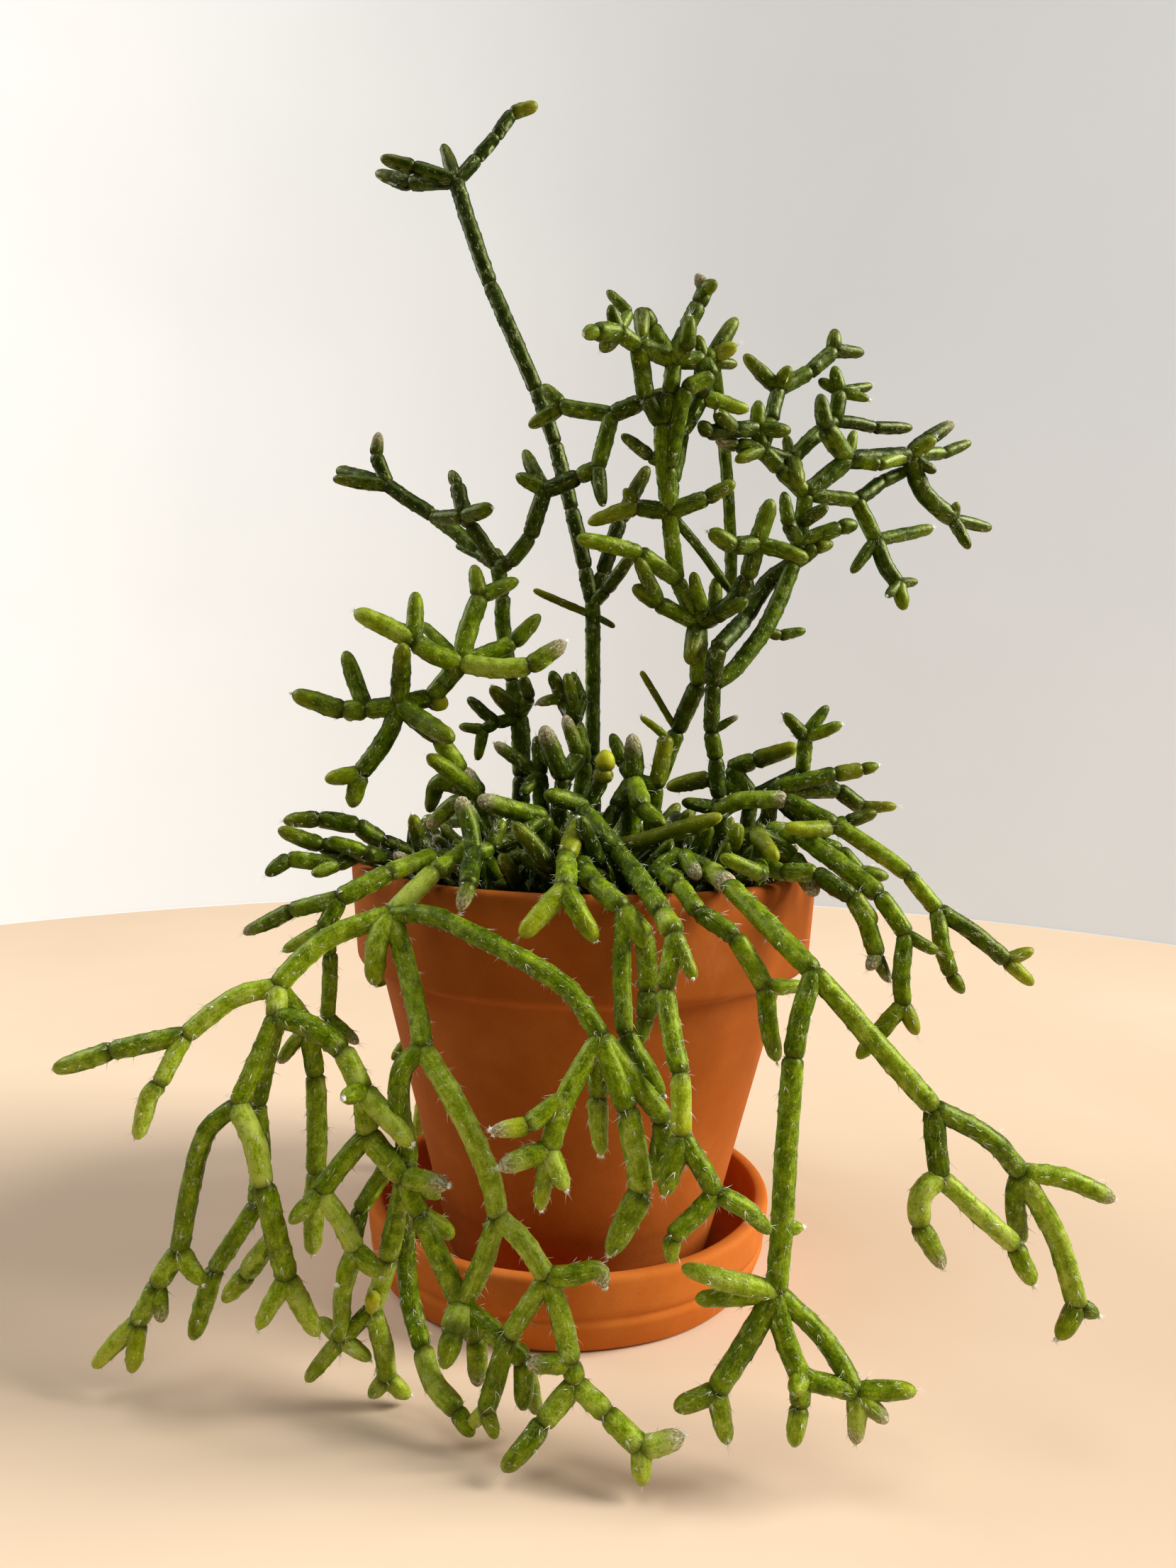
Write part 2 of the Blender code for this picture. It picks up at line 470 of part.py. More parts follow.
RIGHT_ARCH = [
    [(50, 14), (1010, 1150, 22), (1042, 1130, 24, BEND), (1108, 1128, 26), (1178, 1163, 30),
     (1240, 1203, 34, BEND), (1281, 1234, 38)],
    [2.3, (1281, 1234, 38), (1323, 1284, 41), (1372, 1315, 43, BEND), (1420, 1355, 45), (1455, 1341, 45)],
    [2.1, (1420, 1355, 45), (1455, 1387, 46)],
    [2.3, (1323, 1284, 41), (1328, 1330, 45, BEND), (1342, 1375, 46), (1357, 1398, 47)],
]

RIGHT_LONG = [
    [2.8, (50, 26), (1085, 1172, 36), (1125, 1182, 42), (1180, 1222, 52, BEND), (1236, 1265, 60)],
    [2.3, (1236, 1265, 60), (1276, 1320, 64), (1266, 1375, 66, BEND), (1274, 1418, 68), (1292, 1456, 70)],
    [2.2, (1274, 1418, 68), (1212, 1490, 68)],
    [1.7, (1276, 1320, 64), (1320, 1342, 66)],
    [2.2, (1125, 1182, 42), (1185, 1200, 44), (1213, 1230, 46), (1250, 1237, 46)],
    [2.4, (1125, 1182, 42), (1170, 1169, 44), (1110, 1168, 50)],
]

RIGHT_LOW = [
    [2.4, (36, 44), (1065, 1200, 46), (1100, 1228, 54), (1150, 1232, 56), (1205, 1262, 60),
     (1238, 1297, 62)],
    [2.3, (1205, 1262, 60), (1224, 1300, 62, BEND), (1238, 1348, 64), (1226, 1365, 66)],
    [1.9, (1238, 1348, 64), (1258, 1382, 64)],
    [2.3, (1065, 1200, 46), (1068, 1238, 62), (1012, 1240, 66)],
]

STEMS = {
    'tall_stem': TALL_STEM,
    'left_upright': LEFT_UPRIGHT,
    'middle_upright': MIDDLE_UPRIGHT,
    'right_upright': RIGHT_UPRIGHT,
    'left_arm': LEFT_ARM,
    'crown_left': CROWN_LEFT,
    'crown_front_left': CROWN_FRONT_LEFT,
    'crown_front': CROWN_FRONT,
    'crown_front_low': CROWN_FRONT_LOW,
    'crown_berries': CROWN_BERRIES,
    'crown_middle': CROWN_MIDDLE,
    'crown_middle_left': CROWN_MIDDLE_LEFT,
    'crown_middle_right': CROWN_MIDDLE_RIGHT,
    'crown_lying': CROWN_LYING,
    'crown_right': CROWN_RIGHT,
    'crown_right_low': CROWN_RIGHT_LOW,
    'crown_front_right': CROWN_FRONT_RIGHT,
    'trail_far_left': TRAIL_FAR_LEFT,
    'trail_left': TRAIL_LEFT,
    'trail_front': TRAIL_FRONT,
    'trail_front_short': TRAIL_FRONT_SHORT,
    'trail_front_dark': TRAIL_FRONT_DARK,
    'trail_front_right': TRAIL_FRONT_RIGHT,
    'trail_right': TRAIL_RIGHT,
    'right_arch': RIGHT_ARCH,
    'right_long': RIGHT_LONG,
    'right_low': RIGHT_LOW,
}

# The back of the plant, which the view doesn't show, follows a rule: trails that
# hang over the rim at these angles, in degrees from +X, with short stems between.
BACK_TRAILS = (48, 66, 84, 101, 119, 136)
BACK_ROOT = 46.0
BACK_CREST = 137.0
BACK_REACH = 84.0
BACK_SEED = 7


def clear_scene():
    for thing in list(bpy.data.objects):
        bpy.data.objects.remove(thing, do_unlink=True)


def make_material(name, colour, roughness):
    material = bpy.data.materials.new(name)
    material.use_nodes = True
    shader = material.node_tree.nodes['Principled BSDF']
    shader.inputs['Base Color'].default_value = (*colour, 1.0)
    shader.inputs['Roughness'].default_value = roughness
    shader.inputs['Metallic'].default_value = 0.0
    return material


def view_axes():
    """The eye's right, up and forward directions."""
    forward = np.array([math.sin(EYE_TURN) * math.cos(EYE_DOWN),
                        math.cos(EYE_TURN) * math.cos(EYE_DOWN), -math.sin(EYE_DOWN)])
    level = np.array([math.cos(EYE_TURN), -math.sin(EYE_TURN), 0.0])
    up = np.cross(level, forward)
    right = level * math.cos(EYE_LEAN) + up * math.sin(EYE_LEAN)
    return right, up * math.cos(EYE_LEAN) - level * math.sin(EYE_LEAN), forward


def seen_at(across, down, toward):
    """The point that the view shows there, so far toward the viewer from the pot's axis."""
    right, up, forward = view_axes()
    ray = forward + (right * (across - VIEW_MIDDLE[0]) - up * (down - VIEW_MIDDLE[1])) / EYE_REACH
    return EYE + ray * (-toward - EYE[1]) / ray[1]


def back_trail(angle, draw):
    """One trail over the back rim, as runs of points in millimetres, with side twigs."""
    turn = math.radians(angle)
    outward = np.array([math.cos(turn), math.sin(turn), 0.0])
    sideways = np.array([-math.sin(turn), math.cos(turn), 0.0])
    lean = draw.uniform(-6.0, 6.0)
    height = BACK_CREST
    reach = BACK_REACH
    joints = [outward * BACK_ROOT, outward * (RIM_RADIUS - 15.0) + (0, 0, BACK_CREST + 2.0),
              outward * reach + sideways * lean * 0.3 + (0, 0, height)]
    while height > draw.uniform(22.0, 58.0):
        height -= draw.uniform(22.0, 34.0)
        reach += draw.uniform(-1.0, 3.5)
        lean += draw.uniform(-5.0, 5.0)
        joints.append(outward * reach + sideways * lean + (0, 0, max(height, 9.0)))
    runs = [[STEM, joints[0][:2]] + joints[1:]]
    for joint in joints[3:]:
        twig = joint + sideways * draw.choice([-1, 1]) * draw.uniform(9, 13) + outward * draw.uniform(0, 6)
        twig[2] = max(twig[2] - draw.uniform(6, 14), 6.0)
        runs.append([draw.uniform(1.9, 2.4), joint, twig])
    return runs


def back_crown(angle, draw):
    """A short stem that stands and leans between two back trails, with two branches."""
    turn = math.radians(angle + draw.uniform(7.0, 10.0))
    outward = np.array([math.cos(turn), math.sin(turn), 0.0])
    foot = outward * draw.uniform(30.0, 34.0)
    middle = outward * draw.uniform(42, 48) + (0, 0, BACK_CREST + draw.uniform(-3, 1))
    runs = [[draw.uniform(2.4, 2.8), foot[:2], middle]]
    for side in (-1, 1):
        tip = middle + outward * draw.uniform(6, 20)
        tip += (side * draw.uniform(3, 9), 0, draw.uniform(2, 12))
        runs.append([draw.uniform(2.0, 2.6), middle, tip])
    return runs


def back_stems():
    draw = np.random.default_rng(BACK_SEED)
    stems = {}
    for number, angle in enumerate(BACK_TRAILS, 1):
        stems[f'trail_back_{number}'] = back_trail(angle, draw)
    for number, angle in enumerate(BACK_TRAILS[:-1], 1):
        stems[f'crown_back_{number}'] = back_crown(angle, draw)
    return stems


def leant(name, runs):
    """A stem's runs with every joint above the crown brought nearer as the stem leans."""
    foot, rightward, upward = LEANS[name]
    nearer = []
    for run in runs:
        moved = []
        for item in run:
            if not np.isscalar(item) and len(item) > 2:
                across, down, toward = item[:3]
                above = max(LEAN_FOOT - down, 0.0)
                toward += min(above / LEAN_GROWTH, 1.0) * rightward * (across - foot) / 100.0
                item = (across, down, toward + upward * above / 100.0) + item[3:]
            moved.append(item)
        nearer.append(moved)
    return nearer


def straightened(run):
    """A run without the bends that hardly turn it."""
    joints = [item for item in run if not np.isscalar(item) and len(item) > 2]
    kept = list(run)
    for before, joint, after in zip(joints, joints[1:], joints[2:]):
        if isinstance(joint, tuple) and len(joint) == 4:
            into = seen_at(*joint[:3]) - seen_at(*before[:3])
            out = seen_at(*after[:3]) - seen_at(*joint[:3])
            turn = into @ out / np.linalg.norm(into) / np.linalg.norm(out)
            if turn > math.cos(math.radians(LEAST_BEND)):
                kept.remove(joint)
    return kept


class Skeleton:
    """The joints of every stem, and the segments between them."""

    def __init__(self):
        self.points = []
        self.fixed = []
        self.bends = []
        self.segments = []
        self.roots = []
        self.chains = {}

    def add_joint(self, place, bend=False, fixed=False):
        self.points.append(np.array(place, dtype=float))
        self.bends.append(bend)
        self.fixed.append(fixed)
        return len(self.points) - 1

    def add_root(self, node, x, y, radius, chain):
        low = self.add_joint((x, y, SOIL_TOP - ROOT_DEPTH), fixed=True)
        high = self.add_joint((x, y, SOIL_TOP + ROOT_SHOWS), bend=True, fixed=True)
        self.segments.append((node, low, high, radius))
        self.roots.append((x, y, radius))
        chain.append(low)
        return high

    def add_stem(self, node, runs):
        known = {}
        self.chains[node] = []
        for run in runs:
            radius = STEM
            chain = []
            for item in straightened(run):
                if np.isscalar(item):
                    radius = float(item)
                    continue
                key = tuple(float(value) for value in item[:3])
                if key not in known:
                    known[key] = self.new_joint(node, item, radius, chain)
                if chain:
                    self.segments.append((node, chain[-1], known[key], radius))
                chain.append(known[key])
            self.chains[node].append((chain, radius))

    def new_joint(self, node, item, radius, chain):
        if len(item) == 2:
            toward = item[1] if isinstance(item, np.ndarray) else -item[1]
            return self.add_root(node, item[0], toward, radius, chain)
        if isinstance(item, np.ndarray):
            return self.add_joint(item)
        return self.add_joint(seen_at(*item[:3]), bend=len(item) == 4)


def pot_outline():
    """Half the pot with its soil as one filled outline: distance from the axis, height."""
    inner = RIM_RADIUS - RIM_WALL
    return np.array([(0, POT_BASE), (BASE_RADIUS, POT_BASE), (NECK_RADIUS, NECK_HEIGHT),
                     (BAND_FOOT_RADIUS, BAND_FOOT), (RIM_RADIUS, RIM_TOP), (inner, RIM_TOP),
                     (inner, SOIL_TOP), (0, SOIL_TOP)])


def saucer_outline():
    inner = SAUCER_RADIUS - SAUCER_WALL
    return np.array([(0, 0), (SAUCER_FOOT_RADIUS, 0), (SAUCER_RADIUS, SAUCER_TOP), (inner, SAUCER_TOP),
                     (inner - 4, SAUCER_FLOOR), (0, SAUCER_FLOOR)])


def clear_of_outline(places, room, outline, axis_x):
    """How far each place has to move to keep its room from a turned solid."""
    offset = places[:, :2] - (axis_x, 0.0)
    radial = np.linalg.norm(offset, axis=1)
    spot = np.stack([radial, places[:, 2]], axis=1)
    start = outline
    edge = np.roll(outline, -1, axis=0) - start
    along = ((spot[:, None] - start) * edge).sum(-1) / (edge ** 2).sum(-1)
    nearest = start + edge * np.clip(along, 0, 1)[..., None]
    away = spot[:, None] - nearest
    distance = np.linalg.norm(away, axis=-1)
    closest = distance.argmin(axis=1)
    rows = np.arange(len(spot))
    distance = distance[rows, closest]
    away = away[rows, closest] / np.maximum(distance, 1e-6)[:, None]
    low, high = start[:, 1], np.roll(start[:, 1], -1)
    crosses = (low > spot[:, None, 1]) != (high > spot[:, None, 1])
    rise = np.where(np.abs(high - low) < 1e-9, 1e-9, high - low)
    edge_at = start[:, 0] + (spot[:, None, 1] - low) / rise * edge[:, 0]
    inside = (crosses & (spot[:, None, 0] < edge_at)).sum(axis=1) % 2 == 1
    signed = np.where(inside, -distance, distance)
    direction = np.where(inside[:, None], -away, away)
    push = np.maximum(room - signed, 0.0)[:, None] * direction
    radial_push = push[:, :1] * offset / np.maximum(radial, 1e-6)[:, None]
    return np.concatenate([radial_push, push[:, 1:]], axis=1)


def closest_between(a, b, c, d):
    """Where segments a-b and c-d come closest, as shares of their lengths."""
    first, second, between = b - a, d - c, a - c
    aa = (first ** 2).sum(-1)
    bb = (second ** 2).sum(-1)
    ab = (first * second).sum(-1)
    ac = (first * between).sum(-1)
    bc = (second * between).sum(-1)
    spread = np.maximum(aa * bb - ab * ab, 1e-9)
    s = np.clip((ab * bc - ac * bb) / spread, 0, 1)
    t = (ab * s + bc) / np.maximum(bb, 1e-9)
    t = np.clip(t, 0, 1)
    s = np.clip((ab * t - ac) / np.maximum(aa, 1e-9), 0, 1)
    return s, t


def spread_apart(skeleton):
    """Bend stems clear of each other, of the pot, the saucer and the soil, and above z = 0."""
    points = np.array(skeleton.points)
    loose = ~np.array(skeleton.fixed)
    ends = np.array([segment[1:3] for segment in skeleton.segments])
    reach = np.array([segment[3] for segment in skeleton.segments]) * SIDE_SWELL
    names = list(dict.fromkeys(segment[0] for segment in skeleton.segments))
    owner = np.array([names.index(segment[0]) for segment in skeleton.segments])
    rooted = ~loose[ends].all(axis=1) & (points[ends[:, 0], 2] < SOIL_TOP)
    middle = points[ends].mean(axis=1)
    half = np.linalg.norm(points[ends[:, 0]] - points[ends[:, 1]], axis=1) / 2
    one, two = np.triu_indices(len(ends), 1)
    apart = np.linalg.norm(middle[one] - middle[two], axis=1) - half[one] - half[two]
    keep = (owner[one] != owner[two]) & (apart < NEAR)
    one, two = one[keep], two[keep]
    wanted = reach[one] + reach[two] + GAP + MARGIN
    share = np.linspace(0, 1, SAMPLES)
    free = np.nonzero(~rooted)[0]
    for step in range(ROUNDS):
        move = np.zeros_like(points)
        count = np.zeros(len(points))
        a, b = points[ends[one, 0]], points[ends[one, 1]]
        c, d = points[ends[two, 0]], points[ends[two, 1]]
        s, t = closest_between(a, b, c, d)
        gap = a + (b - a) * s[:, None] - c - (d - c) * t[:, None]
        length = np.linalg.norm(gap, axis=1)
        short = np.maximum(wanted - length, 0.0)
        push = gap / np.maximum(length, 1e-6)[:, None] * short[:, None] * 0.5
        worst = short.max()
        hit = short > 0
        for index, weight, sign in ((ends[one, 0], 1 - s, 1), (ends[one, 1], s, 1),
                                    (ends[two, 0], 1 - t, -1), (ends[two, 1], t, -1)):
            strong = hit & (weight > 0.05)
            np.add.at(move, index[strong], sign * (push * weight[:, None])[strong])
            np.add.at(count, index[strong], weight[strong] ** 2)
        for fraction in share:
            spots = points[ends[free, 0]] * (1 - fraction) + points[ends[free, 1]] * fraction
            room = reach[free] + GAP + MARGIN
            push = clear_of_outline(spots, room, pot_outline(), 0.0)
            push += clear_of_outline(spots, room, saucer_outline(), SAUCER_X)
            push[:, 2] += np.maximum(reach[free] + MARGIN - spots[:, 2], 0.0)
            size = np.linalg.norm(push, axis=1)
            worst = max(worst, size.max())
            for index, weight in ((ends[free, 0], 1 - fraction), (ends[free, 1], fraction)):
                strong = (size > 0) & (weight > 0.05)
                np.add.at(move, index[strong], push[strong] * weight)
                np.add.at(count, index[strong], weight ** 2)
        moved = (count > 0) & loose
        points[moved] += move[moved] / np.maximum(count[moved], 1.0)[:, None] * 2 * EASE
        if worst < MARGIN * 0.5:
            break
    skeleton.points = list(points)


def stations(skeleton, chain, radius):
    """Where a run's skin has a ring or a point, as (place, radius), narrow at each joint."""
    places = [Vector(skeleton.points[joint]) for joint in chain]
    bends = [skeleton.bends[joint] for joint in chain]
    full = radius * SIDE_SWELL
    first = (places[1] - places[0]).normalized()
    last = (places[-1] - places[-2]).normalized()
    rings = [(places[0] - first * ROUND_END * radius, 0.0)]
    for number, (start, end) in enumerate(zip(places, places[1:])):
        length = (end - start).length
        if number:
            rings.append((start, full if bends[number] else full * NECK))
        opens, closes = bends[number], bends[number + 1]
        if number == len(places) - 2:
            closes = False
        if number == 0 and not opens:
            rings.append((start.lerp(end, min(ROUND_END, 0.8 * radius / length)), full))
        elif not opens and (length > LONG or closes and length > SHORT):
            rings.append((start.lerp(end, NEAR_START), full))
        elif not opens and not closes and length > SHORT and number < len(places) - 2:
            rings.append((start.lerp(end, 0.5), full))
        if not closes and number < len(places) - 2 and (length > LONG or opens and length > SHORT):
            rings.append((start.lerp(end, NEAR_END), full))
    end_length = (places[-1] - places[-2]).length
    rings.append((places[-1] - last * min(0.5 * radius, 0.3 * end_length), full * TIP))
    rings.append((places[-1] + last * ROUND_END * radius, 0.0))
    return rings


def tube(name, rings, sides, twist):
    """A closed skin through rings that shrink to a point at both ends."""
    mesh = bmesh.new()
    frame = (rings[1][0] - rings[0][0]).to_track_quat('Z', 'Y')
    before = mesh.verts.new(rings[0][0] * MM)
    ring = None
    for number, (place, radius) in enumerate(rings[1:-1], 1):
        into = (place - rings[number - 1][0]).normalized()
        out = (rings[number + 1][0] - place).normalized()
        facing = (into + out).normalized()
        frame = (frame @ Vector((0, 0, 1))).rotation_difference(facing) @ frame
        spin = [twist + math.tau * side / sides for side in range(sides)]
        round_it = [frame @ Vector((math.cos(turn), math.sin(turn), 0)) for turn in spin]
        ring_next = [mesh.verts.new((place + arm * radius) * MM) for arm in round_it]
        for side in range(sides):
            after = (side + 1) % sides
            if ring is None:
                mesh.faces.new((before, ring_next[after], ring_next[side]))
            else:
                mesh.faces.new((ring[side], ring[after], ring_next[after], ring_next[side]))
        ring = ring_next
    point = mesh.verts.new(rings[-1][0] * MM)
    for side in range(sides):
        mesh.faces.new((ring[side], ring[(side + 1) % sides], point))
    bmesh.ops.recalc_face_normals(mesh, faces=mesh.faces)
    return finish(mesh, name)


def finish(mesh, name, smooth_angle=None):
    data = bpy.data.meshes.new(name)
    mesh.to_mesh(data)
    mesh.free()
    if smooth_angle:
        data.shade_smooth()
        data.set_sharp_from_angle(angle=math.radians(smooth_angle))
    thing = bpy.data.objects.new(name, data)
    bpy.context.scene.collection.objects.link(thing)
    return thing


def fuse(name, pieces, solver):
    """Join a stem's runs in one solid."""
    base, rest = pieces[0], pieces[1:]
    group = bpy.data.collections.new(name + '_pieces')
    bpy.context.scene.collection.children.link(group)
    for piece in rest:
        bpy.context.scene.collection.objects.unlink(piece)
        group.objects.link(piece)
    union = base.modifiers.new('union', 'BOOLEAN')
    union.operation = 'UNION'
    union.operand_type = 'COLLECTION'
    union.collection = group
    union.solver = solver
    graph = bpy.context.evaluated_depsgraph_get()
    fused = bpy.data.meshes.new_from_object(base.evaluated_get(graph))
    base.modifiers.clear()
    base.data = fused
    mesh = bmesh.new()
    mesh.from_mesh(fused)
    bmesh.ops.triangulate(mesh, faces=mesh.faces)
    bmesh.ops.remove_doubles(mesh, verts=mesh.verts, dist=WELD * MM)
    bmesh.ops.dissolve_degenerate(mesh, edges=mesh.edges, dist=0.01 * MM)
    bmesh.ops.triangulate(mesh, faces=mesh.faces)
    mesh.to_mesh(fused)
    mesh.free()
    for piece in rest:
        bpy.data.objects.remove(piece, do_unlink=True)
    bpy.data.collections.remove(group)
    base.name = name
    return base


def turned(name, profile, close=False):
    """A solid turned round +Z from (distance from the axis, height) points."""
    mesh = bmesh.new()
    corners = [mesh.verts.new((x * MM, 0, z * MM)) for x, z in profile]
    pairs = list(zip(corners, corners[1:] + corners[:1])) if close else list(zip(corners, corners[1:]))
    edges = [mesh.edges.new(pair) for pair in pairs]
    bmesh.ops.spin(mesh, geom=corners + edges, cent=(0, 0, 0), axis=(0, 0, 1), angle=math.tau,
                   steps=ROUND_SIDES, use_merge=True)
    bmesh.ops.remove_doubles(mesh, verts=mesh.verts, dist=0.01 * MM)
    bmesh.ops.recalc_face_normals(mesh, faces=mesh.faces)
    return finish(mesh, name, SMOOTH_ANGLE)


def pot():
    """Body, rim band and inside, with a drain hole through the floor."""
    inner = RIM_RADIUS - RIM_WALL
    body_slope = (NECK_RADIUS - BASE_RADIUS) / (NECK_HEIGHT - POT_BASE)
    floor_top = POT_BASE + FLOOR
    floor_radius = BASE_RADIUS + body_slope * FLOOR - WALL
    profile = [(DRAIN_RADIUS, POT_BASE), (BASE_RADIUS - 1.0, POT_BASE), (BASE_RADIUS, POT_BASE + 1.0),
               (NECK_RADIUS, NECK_HEIGHT), (BAND_FOOT_RADIUS - 1.6, NECK_HEIGHT + 2.2),
               (BAND_FOOT_RADIUS, BAND_FOOT),
               (RIM_RADIUS, RIM_TOP - 2.2), (RIM_RADIUS - 0.8, RIM_TOP - 0.5), (RIM_RADIUS - 2.4, RIM_TOP),
               (inner, RIM_TOP - 0.8), (inner - 1.0, NECK_HEIGHT + 4),
               (NECK_RADIUS - WALL, NECK_HEIGHT - 2), (floor_radius, floor_top), (DRAIN_RADIUS, floor_top)]
    return turned('pot', profile, close=True)


def saucer():
    inner = SAUCER_RADIUS - SAUCER_WALL
    profile = [(0, 0), (SAUCER_FOOT_RADIUS, 0), (SAUCER_FOOT_RADIUS + 1.4, 1.6),
               (SAUCER_RADIUS - 1.2, SAUCER_GROOVE - 1.5), (SAUCER_RADIUS - 2.0, SAUCER_GROOVE),
               (SAUCER_RADIUS - 1.0, SAUCER_GROOVE + 1.5), (SAUCER_RADIUS, SAUCER_TOP - 1.6),
               (SAUCER_RADIUS - 1.2, SAUCER_TOP), (inner, SAUCER_TOP - 0.6),
               (inner - 3.4, SAUCER_FLOOR + 0.8), (inner - 5.0, SAUCER_FLOOR), (0, SAUCER_FLOOR)]
    dish = turned('saucer', profile)
    dish.location.x = SAUCER_X * MM
    return dish


def soil(roots):
    """Soil that fills the pot, with a plain hole for each root."""
    inner = RIM_RADIUS - RIM_WALL
    body_slope = (NECK_RADIUS - BASE_RADIUS) / (NECK_HEIGHT - POT_BASE)
    floor_top = POT_BASE + FLOOR + GAP
    floor_radius = BASE_RADIUS + body_slope * FLOOR - WALL
    profile = [(0, floor_top), (floor_radius - 2 * GAP, floor_top),
               (NECK_RADIUS - WALL - 2 * GAP, NECK_HEIGHT - 2 + GAP),
               (inner - 1.0 - 2 * GAP, NECK_HEIGHT + 4 + GAP), (inner - 1.2, SOIL_TOP), (0, SOIL_TOP)]
    fill = turned('soil', profile)
    cutters = []
    for x, y, radius in roots:
        hole = (radius * HOLE_EASE + 2 * GAP) * MM
        depth = ROOT_DEPTH + ROUND_END * radius + GAP
        mesh = bmesh.new()
        bmesh.ops.create_cone(mesh, cap_ends=True, segments=HOLE_SIDES, radius1=hole, radius2=hole,
                              depth=2 * depth * MM)
        bmesh.ops.translate(mesh, vec=(x * MM, y * MM, SOIL_TOP * MM), verts=mesh.verts)
        cutters.append(finish(mesh, 'hole'))
    group = bpy.data.collections.new('holes')
    bpy.context.scene.collection.children.link(group)
    for cutter in cutters:
        bpy.context.scene.collection.objects.unlink(cutter)
        group.objects.link(cutter)
    cut = fill.modifiers.new('holes', 'BOOLEAN')
    cut.operation = 'DIFFERENCE'
    cut.operand_type = 'COLLECTION'
    cut.collection = group
    graph = bpy.context.evaluated_depsgraph_get()
    holed = bpy.data.meshes.new_from_object(fill.evaluated_get(graph))
    fill.modifiers.clear()
    fill.data = holed
    for cutter in cutters:
        bpy.data.objects.remove(cutter, do_unlink=True)
    bpy.data.collections.remove(group)
    return fill


def is_closed(thing):
    mesh = bmesh.new()
    mesh.from_mesh(thing.data)
    closed = all(edge.is_manifold for edge in mesh.edges)
    mesh.free()
    return closed


def stem_solid(name, skeleton):
    """A stem's runs fused in one closed solid, with the runs turned a little where that fails."""
    for attempt in range(TRIES):
        pieces = []
        for number, (chain, radius) in enumerate(skeleton.chains[name]):
            sides = STEM_SIDES if radius > THICK else TWIG_SIDES if radius > THIN else THIN_SIDES
            rings = stations(skeleton, chain, radius)
            pieces.append(tube(f'{name}_{number}', rings, sides, number * RUN_TURN + attempt * TURN_AGAIN))
        solid = fuse(name, pieces, 'MANIFOLD' if attempt % 2 else 'EXACT')
        if is_closed(solid):
            break
        if attempt < TRIES - 1:
            bpy.data.objects.remove(solid, do_unlink=True)
    solid.data.shade_smooth()
    solid.data.set_sharp_from_angle(angle=math.radians(STEM_SMOOTH_ANGLE))
    return solid


def build():
    clear_scene()
    clay = make_material('terracotta', (0.50, 0.17, 0.06), 0.85)
    dark_clay = make_material('saucer_clay', (0.48, 0.16, 0.06), 0.85)
    earth = make_material('potting_soil', (0.02, 0.014, 0.010), 0.95)
    green = make_material('stem_skin', (0.10, 0.22, 0.02), 0.45)
    stems = {name: leant(name, runs) if name in LEANS else runs for name, runs in STEMS.items()}
    stems.update(back_stems())
    skeleton = Skeleton()
    for name, runs in stems.items():
        skeleton.add_stem(name, runs)
    spread_apart(skeleton)
    pot().data.materials.append(clay)
    saucer().data.materials.append(dark_clay)
    soil(skeleton.roots).data.materials.append(earth)
    for name in stems:
        solid = stem_solid(name, skeleton)
        solid.data.materials.clear()
        solid.data.materials.append(green)


build()
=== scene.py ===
import math

import bmesh
import bpy
import numpy as np
from mathutils import Matrix, Vector, noise
from mathutils.kdtree import KDTree


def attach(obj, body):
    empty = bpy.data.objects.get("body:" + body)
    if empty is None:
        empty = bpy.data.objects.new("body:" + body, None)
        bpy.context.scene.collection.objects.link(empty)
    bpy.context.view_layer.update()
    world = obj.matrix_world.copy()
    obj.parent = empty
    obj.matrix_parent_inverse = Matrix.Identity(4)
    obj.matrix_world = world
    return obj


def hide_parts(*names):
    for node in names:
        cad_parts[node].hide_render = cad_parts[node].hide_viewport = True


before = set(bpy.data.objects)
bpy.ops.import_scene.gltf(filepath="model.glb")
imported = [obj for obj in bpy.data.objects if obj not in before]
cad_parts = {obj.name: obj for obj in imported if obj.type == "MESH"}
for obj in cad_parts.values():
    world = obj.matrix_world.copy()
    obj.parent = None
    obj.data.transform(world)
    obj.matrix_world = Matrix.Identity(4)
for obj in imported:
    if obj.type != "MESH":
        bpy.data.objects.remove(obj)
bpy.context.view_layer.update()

# A potted rhipsalis: a clay pot on its saucer, the soil and the plant's jointed stems.
# Lengths are in millimetres until a mesh is made. The pot's axis is x = y = 0.
mm = 0.001
weldWidth = 0.01    # vertices of a turned shape that are nearer than this are made one
tiny = 1e-6         # stands in for a length that may be nought, where it divides
tinySquare = 1e-9   # and for a product of lengths

# The view that the stems' joints were read in: where the eye is, how far it looks down,
# and how many steps across one millimetre takes at one millimetre away.
viewer = {
    'eye': np.array([1.35, -355.9, 179.6]),
    'down': 0.066,
    'lean': 0.017,
    'turn': -0.002,
    'reach': 1534.0,
    'middle': (829.5, 1106.0),
    'tall': 2212.0,
    'sensor': 36.0,
}

# Above the crown each upright leans its own way, so that they part on every side: where
# that starts, over what height it grows, and for each stem where its foot is across the
# view, and how many millimetres a hundred steps to the right, and up, bring it nearer.
leaning = {
    'foot': 960.0,
    'growth': 200.0,
    'steps': 100.0,
    'stems': {
        'tall_stem': (836.0, 5.0, 0.0),
        'left_upright': (735.0, 7.0, 0.0),
        'middle_upright': (950.0, -6.0, 4.0),
        'right_upright': (1100.0, -10.0, 0.0),
    },
}

